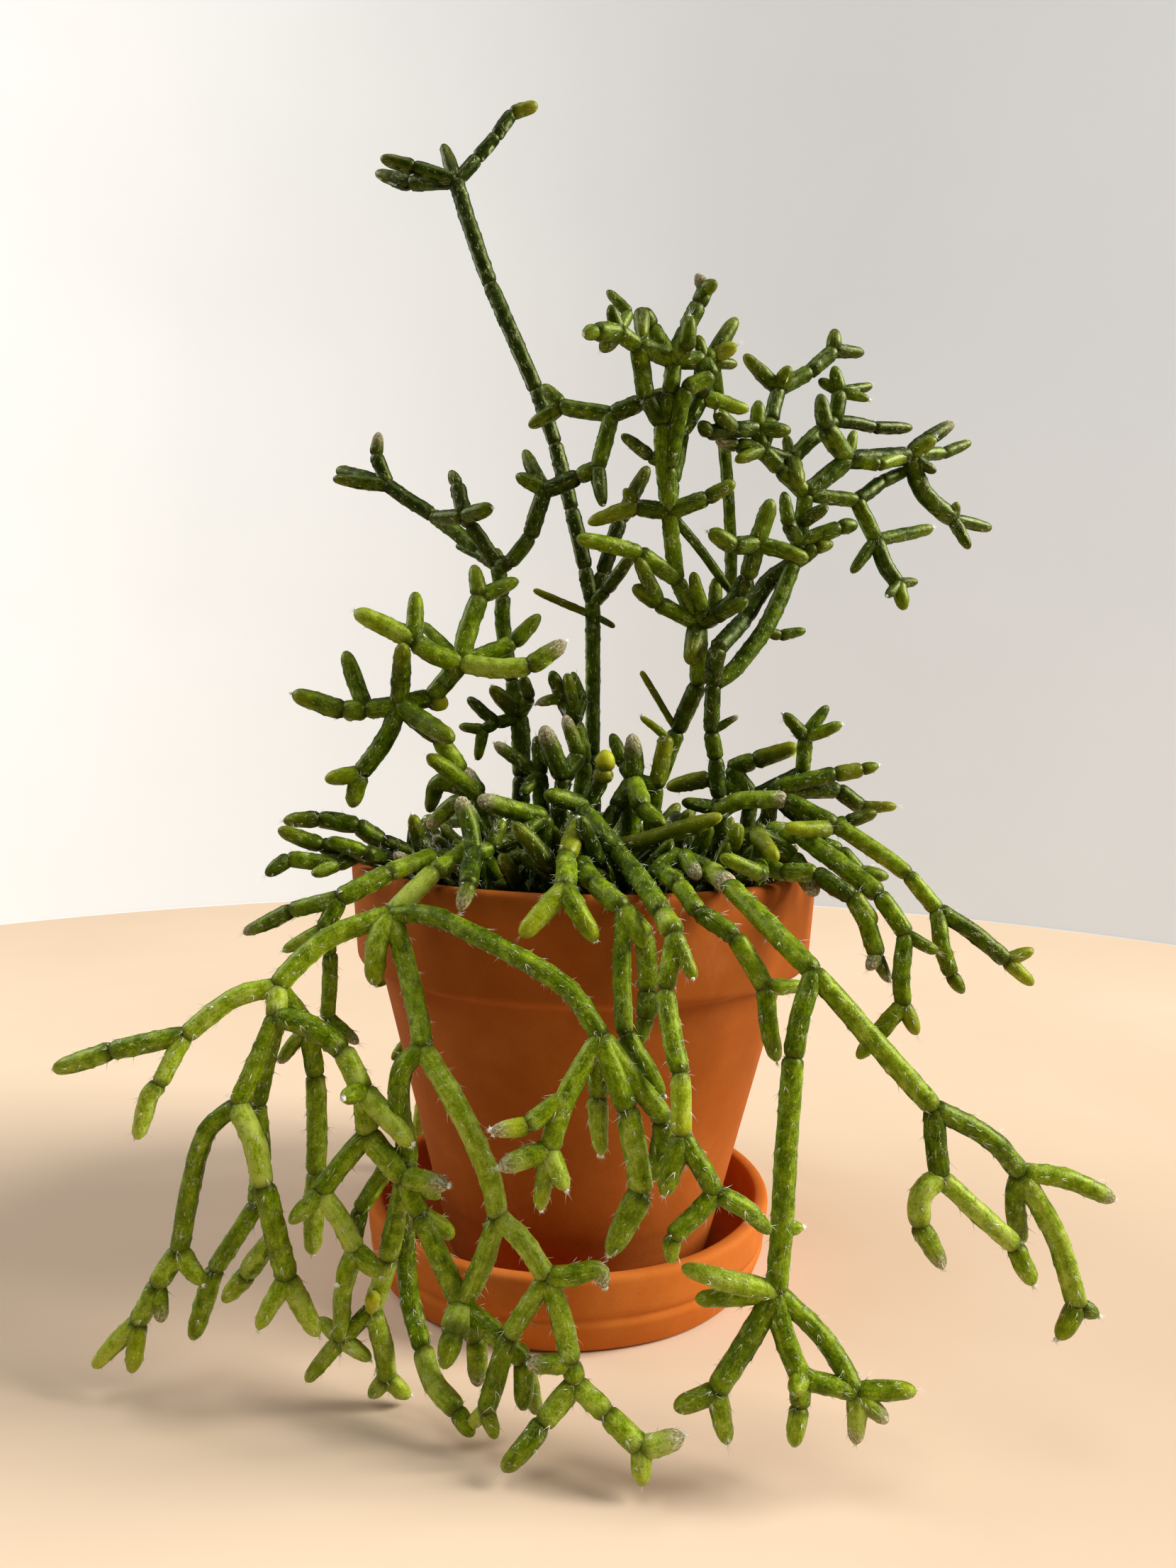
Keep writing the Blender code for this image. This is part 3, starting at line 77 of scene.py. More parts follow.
# Eases say how far each corner of a turned outline is eased, in the outline's order.
potShape = {
    'rimRadius': 75.0,
    'rimTop': 131.8,
    'rimWall': 5.6,
    'bandFoot': 104.0,
    'bandFootRadius': 73.2,
    'neckHeight': 98.8,
    'neckRadius': 66.2,
    'belly': (54.5, 52.0),
    'base': 5.0,
    'baseRadius': 42.9,
    'wall': 5.0,
    'floor': 6.0,
    'drain': 6.0,
    'neckCorner': (0.2, 0.2),
    'bandCorner': (0.2, 2.6),
    'rimSlope': 0.4,
    'innerStep': (1.0, 4.0),
    'stepDrop': 2.0,
    'eases': (0.6, 1.2, 6.0, 1.0, 2.2, 2.4, 1.8, 1.5, 1.5, 2.5, 0.8),
    'wobble': 0.35,
    'steps': 120,
}

saucerShape = {
    'x': -3.8,
    'radius': 66.3,
    'top': 23.6,
    'footRadius': 61.9,
    'wall': 4.9,
    'floor': 4.7,
    'groove': 10.5,
    'innerSlope': 4.0,
    'grooveLow': (1.1, 1.6),
    'grooveDeep': 2.0,
    'grooveHigh': (0.8, 1.8),
    'rimSlope': 0.3,
    'floorCorner': 3.6,
    'eases': (0, 1.4, 1.2, 0.9, 1.6, 2.2, 2.0, 3.5, 0),
    'wobble': 0.3,
    'steps': 120,
}

soilShape = {
    'top': 120.0,
    'foot': (38.0, 12.0),
    'neck': (60.6, 97.0),
    'bandHeight': 103.5,
    'bandSlope': 1.4,
    'edge': 1.2,
    'edgeDrop': 0.8,
    'firstRing': 0.02,
    'topWithin': 0.1,
    'rootDepth': 7.5,
    'rootShows': 4.0,
    'steps': 72,
    'rings': 16,
    'lump': 1.6,
    'lumpsPerMetre': 160.0,
    'lumpForm': (0.8, 2.0, 3),
    'crumbs': 420,
    'crumbSize': (0.7, 2.3),
    'crumbForm': (0.5, 1.1),
    'crumbRise': (-0.3, 1.2),
    'crumbReach': 0.98,
    'smooth': 50,
    'seed': 11,
}

# How stems of different nodes are bent clear of each other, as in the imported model. A
# joint takes no part in a push that falls on it with less than the least share.
spread = {
    'gap': 0.3,
    'near': 30.0,
    'rounds': 500,
    'samples': 7,
    'margin': 0.06,
    'ease': 0.55,
    'swell': 1.07,
    'leastBend': 13.0,
    'leastShare': 0.05,
}

# Every stem is a list of runs. A run may open with its own half thickness, and with
# a root as (x, y toward the viewer) on the soil. Its joints are (across, down, mm
# toward the viewer), and it forks from another run where they share a joint. A joint
# marked bend is a bend in one long segment, with no narrow neck.
bend = True
stemRuns = {
    'tall_stem': [
        [(3, -6), (836, 1065, -6), (836, 868, -6, bend), (836, 852, -6), (825, 802, -7), (806, 718, -8),
         (783, 626, -9), (756, 550, -10), (691, 401, -10), (643, 255, -10)],
        [(643, 255, -10), (584, 236, -6), (540, 224, -4)],
        [(643, 255, -10), (579, 259, -14), (533, 245, -17)],
        [(643, 255, -10), (626, 207, -12)],
        [2.1, (643, 255, -10), (673, 223, -14), (700, 192, -16), (722, 160, -18), (756, 149, -20)],
        [(836, 852, -6), (850, 810, -10), (875, 734, -14), (913, 661, -18)],
        [2.0, (836, 852, -6), (855, 833, -2), (894, 780, 2)],
        [1.2, (836, 868, -6), (754, 833, -1)],
        [1.0, (836, 868, -6), (866, 884, -2)],
    ],
    'left_upright': [
        [2.9, (-22, -3), (735, 1095, 0), (733, 1010, 0)],
        [(733, 1010, 0), (722, 960, 0), (710, 894, 1, bend), (709, 841, 2), (702, 797, 3), (701, 777, 3)],
        [(702, 797, 3), (664, 741, 8), (655, 728, 10), (645, 684, 8), (637, 667, 8)],
        [(655, 728, 10), (691, 716, 14)],
        [(655, 728, 10), (613, 730, 6)],
        [(702, 797, 3), (676, 780, -2), (611, 727, -7), (546, 684, -8), (530, 642, -8), (534, 613, -8)],
        [(546, 684, -8), (473, 676, -4)],
        [(546, 684, -8), (478, 664, -13)],
        [1.2, (702, 797, 3), (645, 770, -4)],
        [(702, 797, 3), (718, 795, 6), (748, 757, 6), (768, 692, 5), (741, 638, 2)],
        [(768, 692, 5), (731, 672, 8)],
        [(768, 692, 5), (816, 672, 5), (843, 660, 5), (850, 711, 8)],
        [(843, 660, 5), (863, 584, 3), (791, 573, 3), (767, 546, 2)],
        [(791, 573, 3), (749, 600, 4)],
        [(863, 584, 3), (905, 567, 2), (945, 554, 1)],
        [3.0, (733, 1010, 0), (695, 972, 6)],
        [2.0, (733, 1010, 0), (747, 985, 6), (738, 955, 8)],
        [2.0, (733, 1010, 0), (700, 1020, 5), (662, 986, 4)],
        [1.8, (700, 1020, 5), (682, 1029, 6), (650, 1025, 6)],
        [1.8, (682, 1029, 6), (674, 1070, 6)],
    ],
    'middle_upright': [
        [2.9, (18, -5), (925, 1110, -2), (955, 1032, 0), (985, 965, 4), (984, 880, 8)],
        [(984, 880, 8), (955, 818, 9), (944, 722, 9), (936, 655, 9, bend), (934, 598, 9), (945, 555, 9),
         (950, 508, 8)],
        [(950, 508, 8), (900, 488, 10), (872, 468, 12), (862, 434, 12)],
        [(872, 468, 12), (840, 468, 16), (827, 470, 18)],
        [(872, 468, 12), (850, 492, 8)],
        [1.6, (872, 468, 12), (887, 442, 8), (858, 412, 4)],
        [(950, 508, 8), (920, 462, 2), (905, 440, 2), (906, 477, 8)],
        [(950, 508, 8), (968, 465, 5), (985, 430, 4), (995, 408, 3), (984, 390, 2)],
        [(995, 408, 3), (1007, 400, 8)],
        [(950, 508, 8), (968, 492, 14), (973, 450, 14)],
        [(950, 508, 8), (992, 508, 8), (1006, 502, 6), (1037, 452, 3)],
        [(1006, 502, 6), (1036, 489, 10)],
        [1.8, (992, 508, 8), (1037, 514, 5)],
        [1.8, (992, 508, 8), (985, 476, 6)],
        [(992, 508, 8), (1004, 532, 12), (966, 549, 12), (955, 600, 11, bend), (944, 660, 10), (944, 722, 9)],
        [(992, 508, 8), (992, 560, 3), (966, 610, 2), (948, 680, 4), (944, 722, 9)],
        [(992, 560, 3), (1056, 579, 3)],
        [(900, 488, 10), (911, 560, 7), (934, 598, 9)],
        [1.9, (1006, 502, 6), (1014, 565, -6, bend), (1025, 666, -11, bend), (1031, 760, -13),
         (1032, 841, -13)],
        [(944, 722, 9), (997, 703, 12), (1034, 682, 14)],
        [(944, 722, 9), (898, 715, 6), (833, 737, 4)],
        [2.0, (898, 715, 6), (882, 692, 5)],
        [2.0, (936, 655, 9), (917, 644, 7), (879, 615, 5)],
        [(955, 818, 9), (902, 780, 12), (817, 760, 14)],
        [(984, 880, 8), (928, 852, 12), (896, 829, 12)],
        [(928, 852, 12), (900, 790, 14)],
        [2.9, (984, 880, 8), (974, 933, 16)],
        [2.0, (984, 880, 8), (992, 862, 13), (978, 810, 14)],
        [(984, 880, 8), (1008, 872, 3), (1010, 818, 2)],
        [(984, 880, 8), (1010, 868, 13), (1052, 848, 16)],
        [1.4, (944, 722, 9), (990, 778, 5, bend), (1030, 834, 2)],
        [2.8, (1008, 872, 3), (1040, 842, 8, bend), (1054, 815, 12), (1068, 767, 15), (1087, 708, 15)],
        [2.8, (1068, 767, 15), (1035, 771, 17), (1004, 751, 18)],
        [(1068, 767, 15), (1137, 788, 18)],
        [1.1, (955, 1032, 0), (905, 948, 4)],
    ],
    'right_upright': [
        [(43, 6), (1014, 1125, 8), (1010, 1070, 8), (1003, 1033, 10), (1006, 965, 12)],
        [2.8, (1006, 965, 12), (1035, 945, 9, bend), (1078, 890, 4, bend), (1102, 840, 1, bend),
         (1119, 795, 0)],
        [2.8, (1006, 965, 12), (1012, 915, 18), (1050, 874, -2), (1080, 826, -5, bend), (1119, 795, 0)],
        [2.6, (1119, 795, 0), (1126, 765, 2), (1131, 738, 4), (1136, 697, 6)],
        [(1136, 697, 6), (1100, 662, 6), (1075, 634, 6), (1067, 603, 6), (1067, 568, 6)],
        [(1067, 603, 6), (1112, 608, 10)],
        [(1067, 603, 6), (1035, 606, 6), (1000, 611, 6), (984, 597, 6)],
        [(1035, 606, 6), (1012, 583, 10)],
        [(1075, 634, 6), (1040, 628, 4), (1013, 622, 3)],
        [2.0, (1075, 634, 6), (1040, 649, 8)],
        [2.0, (1075, 634, 6), (1116, 648, 5), (1109, 617, 3)],
        [(1116, 648, 5), (1160, 606, 2), (1178, 594, 2)],
        [2.6, (1116, 648, 5), (1127, 682, 12)],
        [2.9, (1136, 697, 6), (1196, 648, 8), (1165, 604, 12), (1157, 560, 12)],
        [2.0, (1196, 648, 8), (1204, 610, 8)],
        [2.9, (1196, 648, 8), (1283, 643, 8), (1303, 695, 6, bend), (1344, 733, 5)],
        [2.0, (1196, 648, 8), (1240, 656, 12), (1283, 643, 8)],
        [(1178, 594, 2), (1184, 553, 2), (1177, 520, 2)],
        [1.8, (1184, 553, 2), (1157, 537, -1)],
        [1.8, (1184, 553, 2), (1224, 563, 6)],
        [1.8, (1184, 553, 2), (1228, 545, 0)],
        [2.0, (1178, 594, 2), (1233, 603, 1), (1284, 604, 0)],
        [2.8, (1283, 643, 8), (1317, 619, 13)],
        [(1283, 643, 8), (1305, 622, 3), (1342, 599, 2)],
        [2.0, (1283, 643, 8), (1330, 640, 3), (1367, 625, 2)],
        [2.0, (1283, 643, 8), (1318, 665, 12)],
        [2.2, (1344, 733, 5), (1349, 711, 8)],
        [2.0, (1344, 733, 5), (1396, 745, 3)],
        [2.0, (1344, 733, 5), (1366, 772, 8)],
        [2.2, (1136, 697, 6), (1208, 706, 7), (1243, 680, 5), (1279, 664, 4)],
        [(1208, 706, 7), (1235, 762, 7), (1250, 800, 7, bend), (1267, 823, 7), (1275, 857, 7)],
        [2.0, (1235, 762, 7), (1313, 746, 7)],
        [2.0, (1235, 762, 7), (1203, 806, 5)],
        [1.9, (1267, 823, 7), (1292, 821, 7)],
        [1.9, (1267, 823, 7), (1252, 840, 10)],
        [(1075, 634, 6), (1087, 595, 0), (1098, 548, -2), (1080, 532, -3, bend), (1052, 503, -4)],
        [(1098, 548, -2), (1112, 520, 3)],
        [(1098, 548, -2), (1142, 525, -2), (1176, 495, -2), (1177, 468, -2)],
        [2.2, (1176, 495, -2), (1216, 498, -2)],
        [(1131, 738, 4), (1165, 716, 12)],
        [(1126, 765, 2), (1184, 744, 8), (1206, 741, 8)],
        [(1119, 795, 0), (1150, 772, 5), (1172, 768, 6)],
        [2.2, (1126, 765, 2), (1112, 740, 8), (1106, 697, 9)],
        [1.9, (1078, 890, 4), (1100, 897, 3), (1134, 890, 3)],
        [1.3, (1003, 1033, 10), (1040, 1011, 13)],
    ],
    'left_arm': [
        [2.8, (-33, 12), (676, 1120, 17), (651, 1088, 20), (618, 1040, 22), (563, 995, 26)],
        [2.9, (563, 995, 26), (566, 950, 29, bend), (568, 912, 36)],
        [2.9, (563, 995, 26), (517, 1002, 26), (485, 1003, 26), (417, 980, 26)],
        [(517, 1002, 26), (488, 922, 22)],
        [2.8, (563, 995, 26), (545, 1040, 28, bend), (508, 1092, 30), (463, 1099, 32)],
        [2.8, (508, 1092, 30), (497, 1135, 30)],
        [3.1, (563, 995, 26), (600, 1020, 31, bend), (636, 1042, 38)],
        [2.8, (563, 995, 26), (608, 985, 24), (650, 935, 26), (660, 890, 24, bend), (677, 842, 22),
         (669, 801, 20)],
        [(677, 842, 22), (728, 820, 18)],
        [2.9, (650, 935, 26), (700, 943, 28, bend), (747, 940, 28), (794, 908, 28)],
        [2.7, (650, 935, 26), (724, 907, 20), (759, 870, 19)],
        [2.9, (650, 935, 26), (615, 925, 29, bend), (584, 905, 30), (504, 865, 30)],
        [2.0, (650, 935, 26), (597, 881, 20)],
        [2.7, (584, 905, 30), (586, 839, 28)],
        [2.8, (676, 1120, 17), (606, 1068, 28)],
        [2.8, (676, 1120, 17), (622, 1104, 12, bend), (606, 1142, 10)],
        [2.9, (608, 985, 24), (627, 995, 22)],
    ],
    'crown_left': [
        [2.7, (-42, 12), (619, 1226, 20), (539, 1187, 25), (504, 1164, 28), (450, 1155, 30), (404, 1158, 32)],
        [(619, 1226, 20), (560, 1224, 30), (505, 1211, 36), (453, 1192, 40), (396, 1171, 42)],
        [(560, 1224, 30), (514, 1205, 42), (465, 1186, 45)],
        [2.3, (505, 1211, 36), (476, 1220, 44), (407, 1211, 46), (378, 1232, 48)],
        [2.0, (476, 1220, 44), (443, 1232, 50)],
    ],
    'crown_front_left': [
        [2.5, (-30, 45), (668, 1203, 59), (661, 1248, 80), (650, 1284, 82)],
        [(668, 1203, 59), (663, 1165, 55, bend), (648, 1128, 53), (606, 1165, 50)],
        [(668, 1203, 59), (692, 1198, 54), (708, 1160, 52)],
    ],
    'crown_front': [
        [2.8, (-14, 32), (768, 1152, 38), (722, 1142, 42, bend), (678, 1128, 46)],
        [2.4, (768, 1152, 38), (735, 1178, 44), (690, 1195, 50)],
    ],
    'crown_front_low': [
        [2.8, (-8, 47), (780, 1228, 62), (752, 1190, 64, bend), (727, 1164, 66)],
        [2.3, (780, 1228, 62), (738, 1206, 58), (706, 1218, 56)],
    ],
    'crown_berries': [
        [(0, 20), (828, 1138, 28), (849, 1100, 30)],
        [2.9, (849, 1100, 30), (853, 1086, 31)],
        [2.8, (853, 1086, 31), (854, 1062, 31)],
        [2.8, (828, 1138, 28), (772, 1122, 38)],
    ],
    'crown_middle': [
        [(-4, 8), (824, 1075, 8), (812, 1020, 8), (793, 985, 10), (779, 950, 12)],
        [1.9, (793, 985, 10), (759, 992, 10)],
        [2.0, (812, 1020, 8), (800, 953, 15)],
        [1.7, (812, 1020, 8), (822, 988, 4), (808, 950, 4)],
    ],
    'crown_middle_left': [
        [(-12, 16), (795, 1098, 20), (818, 1065, 16), (798, 1012, 18)],
        [3.0, (795, 1098, 20), (768, 1028, 24)],
        [(-12, 16), (762, 1092, 16), (757, 1042, 16)],
        [2.2, (762, 1092, 16), (738, 1118, 26)],
        [2.0, (762, 1092, 16), (700, 1050, 16)],
    ],
    'crown_middle_right': [
        [3.0, (13, 16), (893, 1100, 20), (892, 1040, 22)],
        [2.2, (893, 1100, 20), (880, 1080, 14), (864, 1038, 12)],
        [(893, 1100, 20), (925, 1110, 20), (940, 1040, 20)],
        [1.2, (940, 1040, 20), (905, 1012, 18)],
        [2.9, (893, 1100, 20), (905, 1140, 30), (935, 1163, 36)],
        [2.4, (893, 1100, 20), (868, 1140, 24), (846, 1180, 30)],
    ],
    'crown_lying': [
        [2.6, (14, 34), (866, 1196, 38), (920, 1184, 42, bend), (1015, 1152, 46)],
    ],
    'crown_right': [
        [(52, -8), (1060, 1125, -6), (1132, 1090, -2), (1136, 1040, 0), (1108, 1009, 0)],
        [2.2, (1136, 1040, 0), (1166, 998, -1)],
        [2.0, (1136, 1040, 0), (1185, 1022, 2)],
        [2.9, (1060, 1125, -6), (1030, 1084, -8), (1064, 1073, -8), (1122, 1054, -6)],
        [2.9, (1060, 1125, -6), (1000, 1098, -10), (944, 1110, -12)],
        [2.4, (1060, 1125, -6), (1020, 1142, -2), (965, 1132, 0)],
    ],
    'crown_right_low': [
        [(57, 6), (1088, 1115, 8), (1120, 1105, 8, bend), (1178, 1092, 8), (1216, 1086, 8), (1236, 1081, 8)],
        [2.7, (1088, 1115, 8), (1182, 1114, 2), (1214, 1138, 2)],
        [1.8, (1214, 1138, 2), (1262, 1138, 2)],
        [(1088, 1115, 8), (1150, 1172, 12), (1195, 1160, 12), (1234, 1147, 12)],
    ],
    'crown_front_right': [
        [(40, 34), (1050, 1212, 50), (1041, 1166, 56)],
        [(1050, 1212, 50), (1062, 1190, 46), (1093, 1223, 56)],
        [2.7, (1062, 1190, 46), (1120, 1206, 42), (1150, 1258, 54)],
    ],
    'trail_far_left': [
        [2.6, (-31, 24), (610, 1208, 42), (548, 1231, 60), (479, 1267, 63)],
        [2.3, (479, 1267, 63), (412, 1284, 60), (347, 1315, 56)],
        [(479, 1267, 63), (456, 1312, 64)],
        [2.0, (456, 1312, 64), (403, 1340, 62)],
        [2.0, (456, 1312, 64), (466, 1345, 61), (462, 1436, 58), (503, 1470, 58)],
    ],
    'trail_left': [
        [2.6, (-22, 35), (668, 1192, 46), (620, 1243, 62), (557, 1290, 70), (480, 1315, 73, bend),
         (435, 1345, 76, bend), (390, 1392, 80), (390, 1434, 84)],
        [2.8, (557, 1290, 70), (532, 1330, 75, bend), (528, 1385, 76)],
        [(557, 1290, 70), (575, 1360, 76, bend), (590, 1430, 84, bend), (597, 1480, 90)],
        [(557, 1290, 70), (610, 1288, 76, bend), (680, 1318, 85, bend), (745, 1350, 93, bend),
         (805, 1400, 99, bend), (848, 1463, 104)],
        [(390, 1392, 80), (330, 1408, 82, bend), (262, 1460, 84), (205, 1472, 84, bend), (158, 1482, 84),
         (80, 1507, 82)],
        [2.2, (262, 1460, 84), (225, 1530, 88), (210, 1548, 88, bend), (195, 1603, 88)],
        [(390, 1392, 80), (432, 1450, 74, bend), (445, 1517, 72), (447, 1585, 72, bend), (446, 1655, 74),
         (441, 1765, 76)],
        [1.9, (432, 1450, 74), (396, 1497, 72)],
        [(390, 1434, 84), (362, 1500, 86, bend), (335, 1558, 88), (290, 1600, 88, bend),
         (268, 1680, 88, bend), (253, 1765, 88), (222, 1812, 88), (195, 1865, 88), (135, 1925, 88)],
        [(195, 1865, 88), (187, 1932, 90)],
        [2.0, (222, 1812, 88), (228, 1862, 90)],
        [(253, 1765, 88), (283, 1808, 90)],
        [2.6, (335, 1558, 88), (358, 1610, 92, bend), (372, 1672, 92), (388, 1740, 92, bend), (405, 1803, 92),
         (447, 1880, 92)],
        [(405, 1803, 92), (366, 1870, 96)],
        [(388, 1740, 92), (350, 1795, 85), (318, 1832, 84)],
        [(390, 1434, 84), (374, 1500, 77, bend), (362, 1557, 76), (368, 1625, 76, bend), (362, 1700, 76),
         (303, 1790, 76), (273, 1885, 78)],
        [2.7, (390, 1434, 84), (440, 1450, 86, bend), (484, 1482, 87), (512, 1540, 90), (488, 1548, 98)],
        [2.7, (512, 1540, 90), (518, 1600, 90), (572, 1662, 94)],
        [2.7, (512, 1540, 90), (578, 1612, 96)],
        [(518, 1600, 90), (452, 1682, 94), (412, 1722, 97)],
        [(452, 1682, 94), (480, 1722, 94, bend), (502, 1765, 94), (480, 1808, 99)],
        [2.7, (502, 1765, 94), (535, 1796, 97)],
        [2.1, (502, 1765, 94), (484, 1822, 88, bend), (482, 1890, 87), (435, 1945, 87)],
        [2.1, (482, 1890, 87), (520, 1916, 87)],
        [2.1, (482, 1890, 87), (452, 1862, 83)],
        [2.1, (482, 1890, 87), (525, 1846, 86)],
        [2.7, (572, 1662, 94), (628, 1672, 100)],
        [1.9, (572, 1662, 94), (618, 1688, 94)],
        [(572, 1662, 94), (560, 1715, 89, bend), (548, 1775, 87), (525, 1846, 86), (540, 1900, 86, bend),
         (546, 1945, 86), (524, 1975, 86)],
        [(546, 1945, 86), (575, 1968, 86)],
        [1.7, (525, 1846, 86), (526, 1828, 91)],
        [(572, 1662, 94), (592, 1714, 96), (636, 1742, 93)],
        [(592, 1714, 96), (620, 1775, 98, bend), (652, 1842, 98)],
        [(572, 1662, 94), (572, 1750, 83, bend), (578, 1830, 83, bend), (596, 1902, 90),
         (612, 1950, 95, bend), (645, 1990, 100), (665, 2022, 103)],
        [2.2, (572, 1662, 94), (546, 1645, 85), (508, 1706, 84), (497, 1762, 86)],
        [3.2, (652, 1842, 98), (640, 1882, 105), (627, 1924, 107)],
        [(652, 1842, 98), (672, 1888, 97), (674, 1950, 97)],
        [(652, 1842, 98), (690, 1875, 102, bend), (740, 1918, 103), (738, 1984, 105)],
        [2.0, (740, 1918, 103), (756, 1990, 98)],
        [(597, 1480, 90), (568, 1507, 92, bend), (563, 1562, 92, bend), (574, 1620, 90, bend),
         (572, 1662, 94)],
        [(597, 1480, 90), (650, 1570, 97, bend), (690, 1660, 99, bend), (702, 1716, 100)],
        [(702, 1716, 100), (682, 1780, 100, bend), (652, 1842, 98)],
        [(702, 1716, 100), (740, 1755, 103, bend), (772, 1802, 105), (805, 1800, 106, bend),
         (843, 1792, 106, bend), (852, 1812, 107)],
        [2.3, (772, 1802, 105), (718, 1884, 105), (686, 1990, 106), (698, 2025, 107)],
        [1.9, (686, 1990, 106), (663, 2010, 101)],
        [(772, 1802, 105), (792, 1860, 107, bend), (806, 1922, 109), (812, 1952, 110), (765, 2008, 112),
         (738, 2045, 114, bend), (712, 2070, 115)],
        [2.2, (806, 1922, 109), (748, 1926, 109)],
        [(812, 1952, 110), (856, 1995, 113), (905, 2043, 117), (960, 2028, 117)],
        [(905, 2043, 117), (905, 2090, 119)],
        [2.7, (848, 1463, 104), (872, 1530, 108, bend), (885, 1565, 109), (905, 1682, 111)],
        [3.2, (905, 1682, 111), (862, 1765, 113)],
        [(848, 1463, 104), (800, 1545, 108, bend), (775, 1622, 110), (708, 1646, 112)],
        [2.1, (775, 1622, 110), (762, 1703, 112)],
        [(775, 1622, 110), (797, 1675, 114)],
        [2.2, (800, 1545, 108), (745, 1588, 110), (697, 1595, 112)],
        [2.3, (848, 1463, 104), (843, 1547, 103), (848, 1625, 104)],
        [(848, 1463, 104), (890, 1520, 106, bend), (938, 1578, 106), (923, 1660, 103)],
    ],
    'trail_front': [
        [2.6, (2, 30), (822, 1142, 36), (872, 1203, 50), (935, 1288, 92), (952, 1317, 98)],
        [2.0, (952, 1317, 98), (979, 1378, 104)],
        [2.2, (952, 1317, 98), (938, 1396, 102), (948, 1460, 106, bend), (960, 1514, 110), (962, 1603, 114)],
        [2.2, (962, 1603, 114), (988, 1645, 115, bend), (1010, 1684, 116), (1050, 1705, 116, bend),
         (1084, 1736, 114)],
        [2.2, (1010, 1684, 116), (948, 1745, 118), (947, 1778, 118)],
        [(962, 1603, 114), (938, 1682, 116)],
    ],
    'trail_front_short': [
        [2.6, (-5, 38), (818, 1160, 50), (797, 1212, 64), (797, 1252, 84), (735, 1324, 90)],
        [2.6, (797, 1252, 84), (815, 1285, 88, bend), (838, 1324, 90)],
    ],
    'trail_front_dark': [
        [2.6, (4, 46), (818, 1215, 58), (838, 1246, 77), (880, 1282, 86), (907, 1332, 92)],
        [2.2, (880, 1282, 86), (877, 1370, 93, bend), (881, 1458, 99), (932, 1543, 101)],
        [(880, 1282, 86), (910, 1318, 82), (913, 1398, 84), (912, 1436, 86), (901, 1470, 86)],
    ],
    'trail_front_right': [
        [2.4, (22, 40), (925, 1226, 58), (957, 1247, 73), (985, 1287, 81), (1037, 1322, 86),
         (1080, 1393, 90)],
        [2.2, (1080, 1393, 90), (1085, 1450, 92, bend), (1095, 1493, 92)],
        [2.2, (1080, 1393, 90), (1132, 1391, 88)],
        [2.3, (925, 1226, 58), (968, 1213, 54), (1000, 1238, 62)],
    ],
    'trail_right': [
        [2.7, (29, 30), (938, 1204, 44), (990, 1230, 58), (1024, 1250, 68), (1085, 1310, 84, bend),
         (1148, 1372, 96)],
        [(1148, 1372, 96), (1130, 1430, 100, bend), (1119, 1492, 102), (1108, 1640, 106, bend),
         (1103, 1735, 108, bend), (1095, 1822, 110)],
        [1.9, (1103, 1735, 108), (1129, 1731, 108)],
        [2.3, (1095, 1822, 110), (1030, 1808, 112, bend), (966, 1789, 112)],
        [2.1, (1095, 1822, 110), (985, 1833, 107)],
        [(1095, 1822, 110), (1050, 1900, 112, bend), (1010, 1962, 114), (955, 1985, 114)],
        [(1010, 1962, 114), (1025, 2032, 116)],
        [(1095, 1822, 110), (1105, 1880, 113, bend), (1130, 1945, 116), (1121, 1962, 122)],
        [2.2, (1130, 1945, 116), (1128, 1985, 118), (1120, 2036, 119)],
        [2.2, (1130, 1945, 116), (1208, 1964, 117), (1288, 1962, 118)],
        [2.2, (1095, 1822, 110), (1165, 1892, 112, bend), (1208, 1964, 117), (1207, 2032, 119)],
        [2.0, (1208, 1964, 117), (1249, 2003, 119)],
        [(1148, 1372, 96), (1230, 1465, 98, bend), (1317, 1563, 100), (1326, 1660, 102)],
        [2.6, (1326, 1660, 102), (1300, 1685, 104, bend), (1296, 1728, 104), (1328, 1785, 106)],
        [(1326, 1660, 102), (1385, 1715, 104, bend), (1432, 1757, 104), (1455, 1808, 106)],
        [(1317, 1563, 100), (1395, 1605, 100, bend), (1440, 1655, 100), (1500, 1662, 100, bend),
         (1568, 1690, 100)],
        [(1440, 1655, 100), (1490, 1745, 102, bend), (1520, 1842, 104), (1545, 1853, 104)],
        [(1520, 1842, 104), (1495, 1885, 106)],
        [(1440, 1655, 100), (1432, 1700, 98, bend), (1440, 1750, 97)],
    ],
    'right_arch': [
        [(50, 14), (1010, 1150, 22), (1042, 1130, 24, bend), (1108, 1128, 26), (1178, 1163, 30),
         (1240, 1203, 34, bend), (1281, 1234, 38)],
        [2.3, (1281, 1234, 38), (1323, 1284, 41), (1372, 1315, 43, bend), (1420, 1355, 45), (1455, 1341, 45)],
        [2.1, (1420, 1355, 45), (1455, 1387, 46)],
        [2.3, (1323, 1284, 41), (1328, 1330, 45, bend), (1342, 1375, 46), (1357, 1398, 47)],
    ],
    'right_long': [
        [2.8, (50, 26), (1085, 1172, 36), (1125, 1182, 42), (1180, 1222, 52, bend), (1236, 1265, 60)],
        [2.3, (1236, 1265, 60), (1276, 1320, 64), (1266, 1375, 66, bend), (1274, 1418, 68), (1292, 1456, 70)],
        [2.2, (1274, 1418, 68), (1212, 1490, 68)],
        [1.7, (1276, 1320, 64), (1320, 1342, 66)],
        [2.2, (1125, 1182, 42), (1185, 1200, 44), (1213, 1230, 46), (1250, 1237, 46)],
        [2.4, (1125, 1182, 42), (1170, 1169, 44), (1110, 1168, 50)],
    ],
    'right_low': [
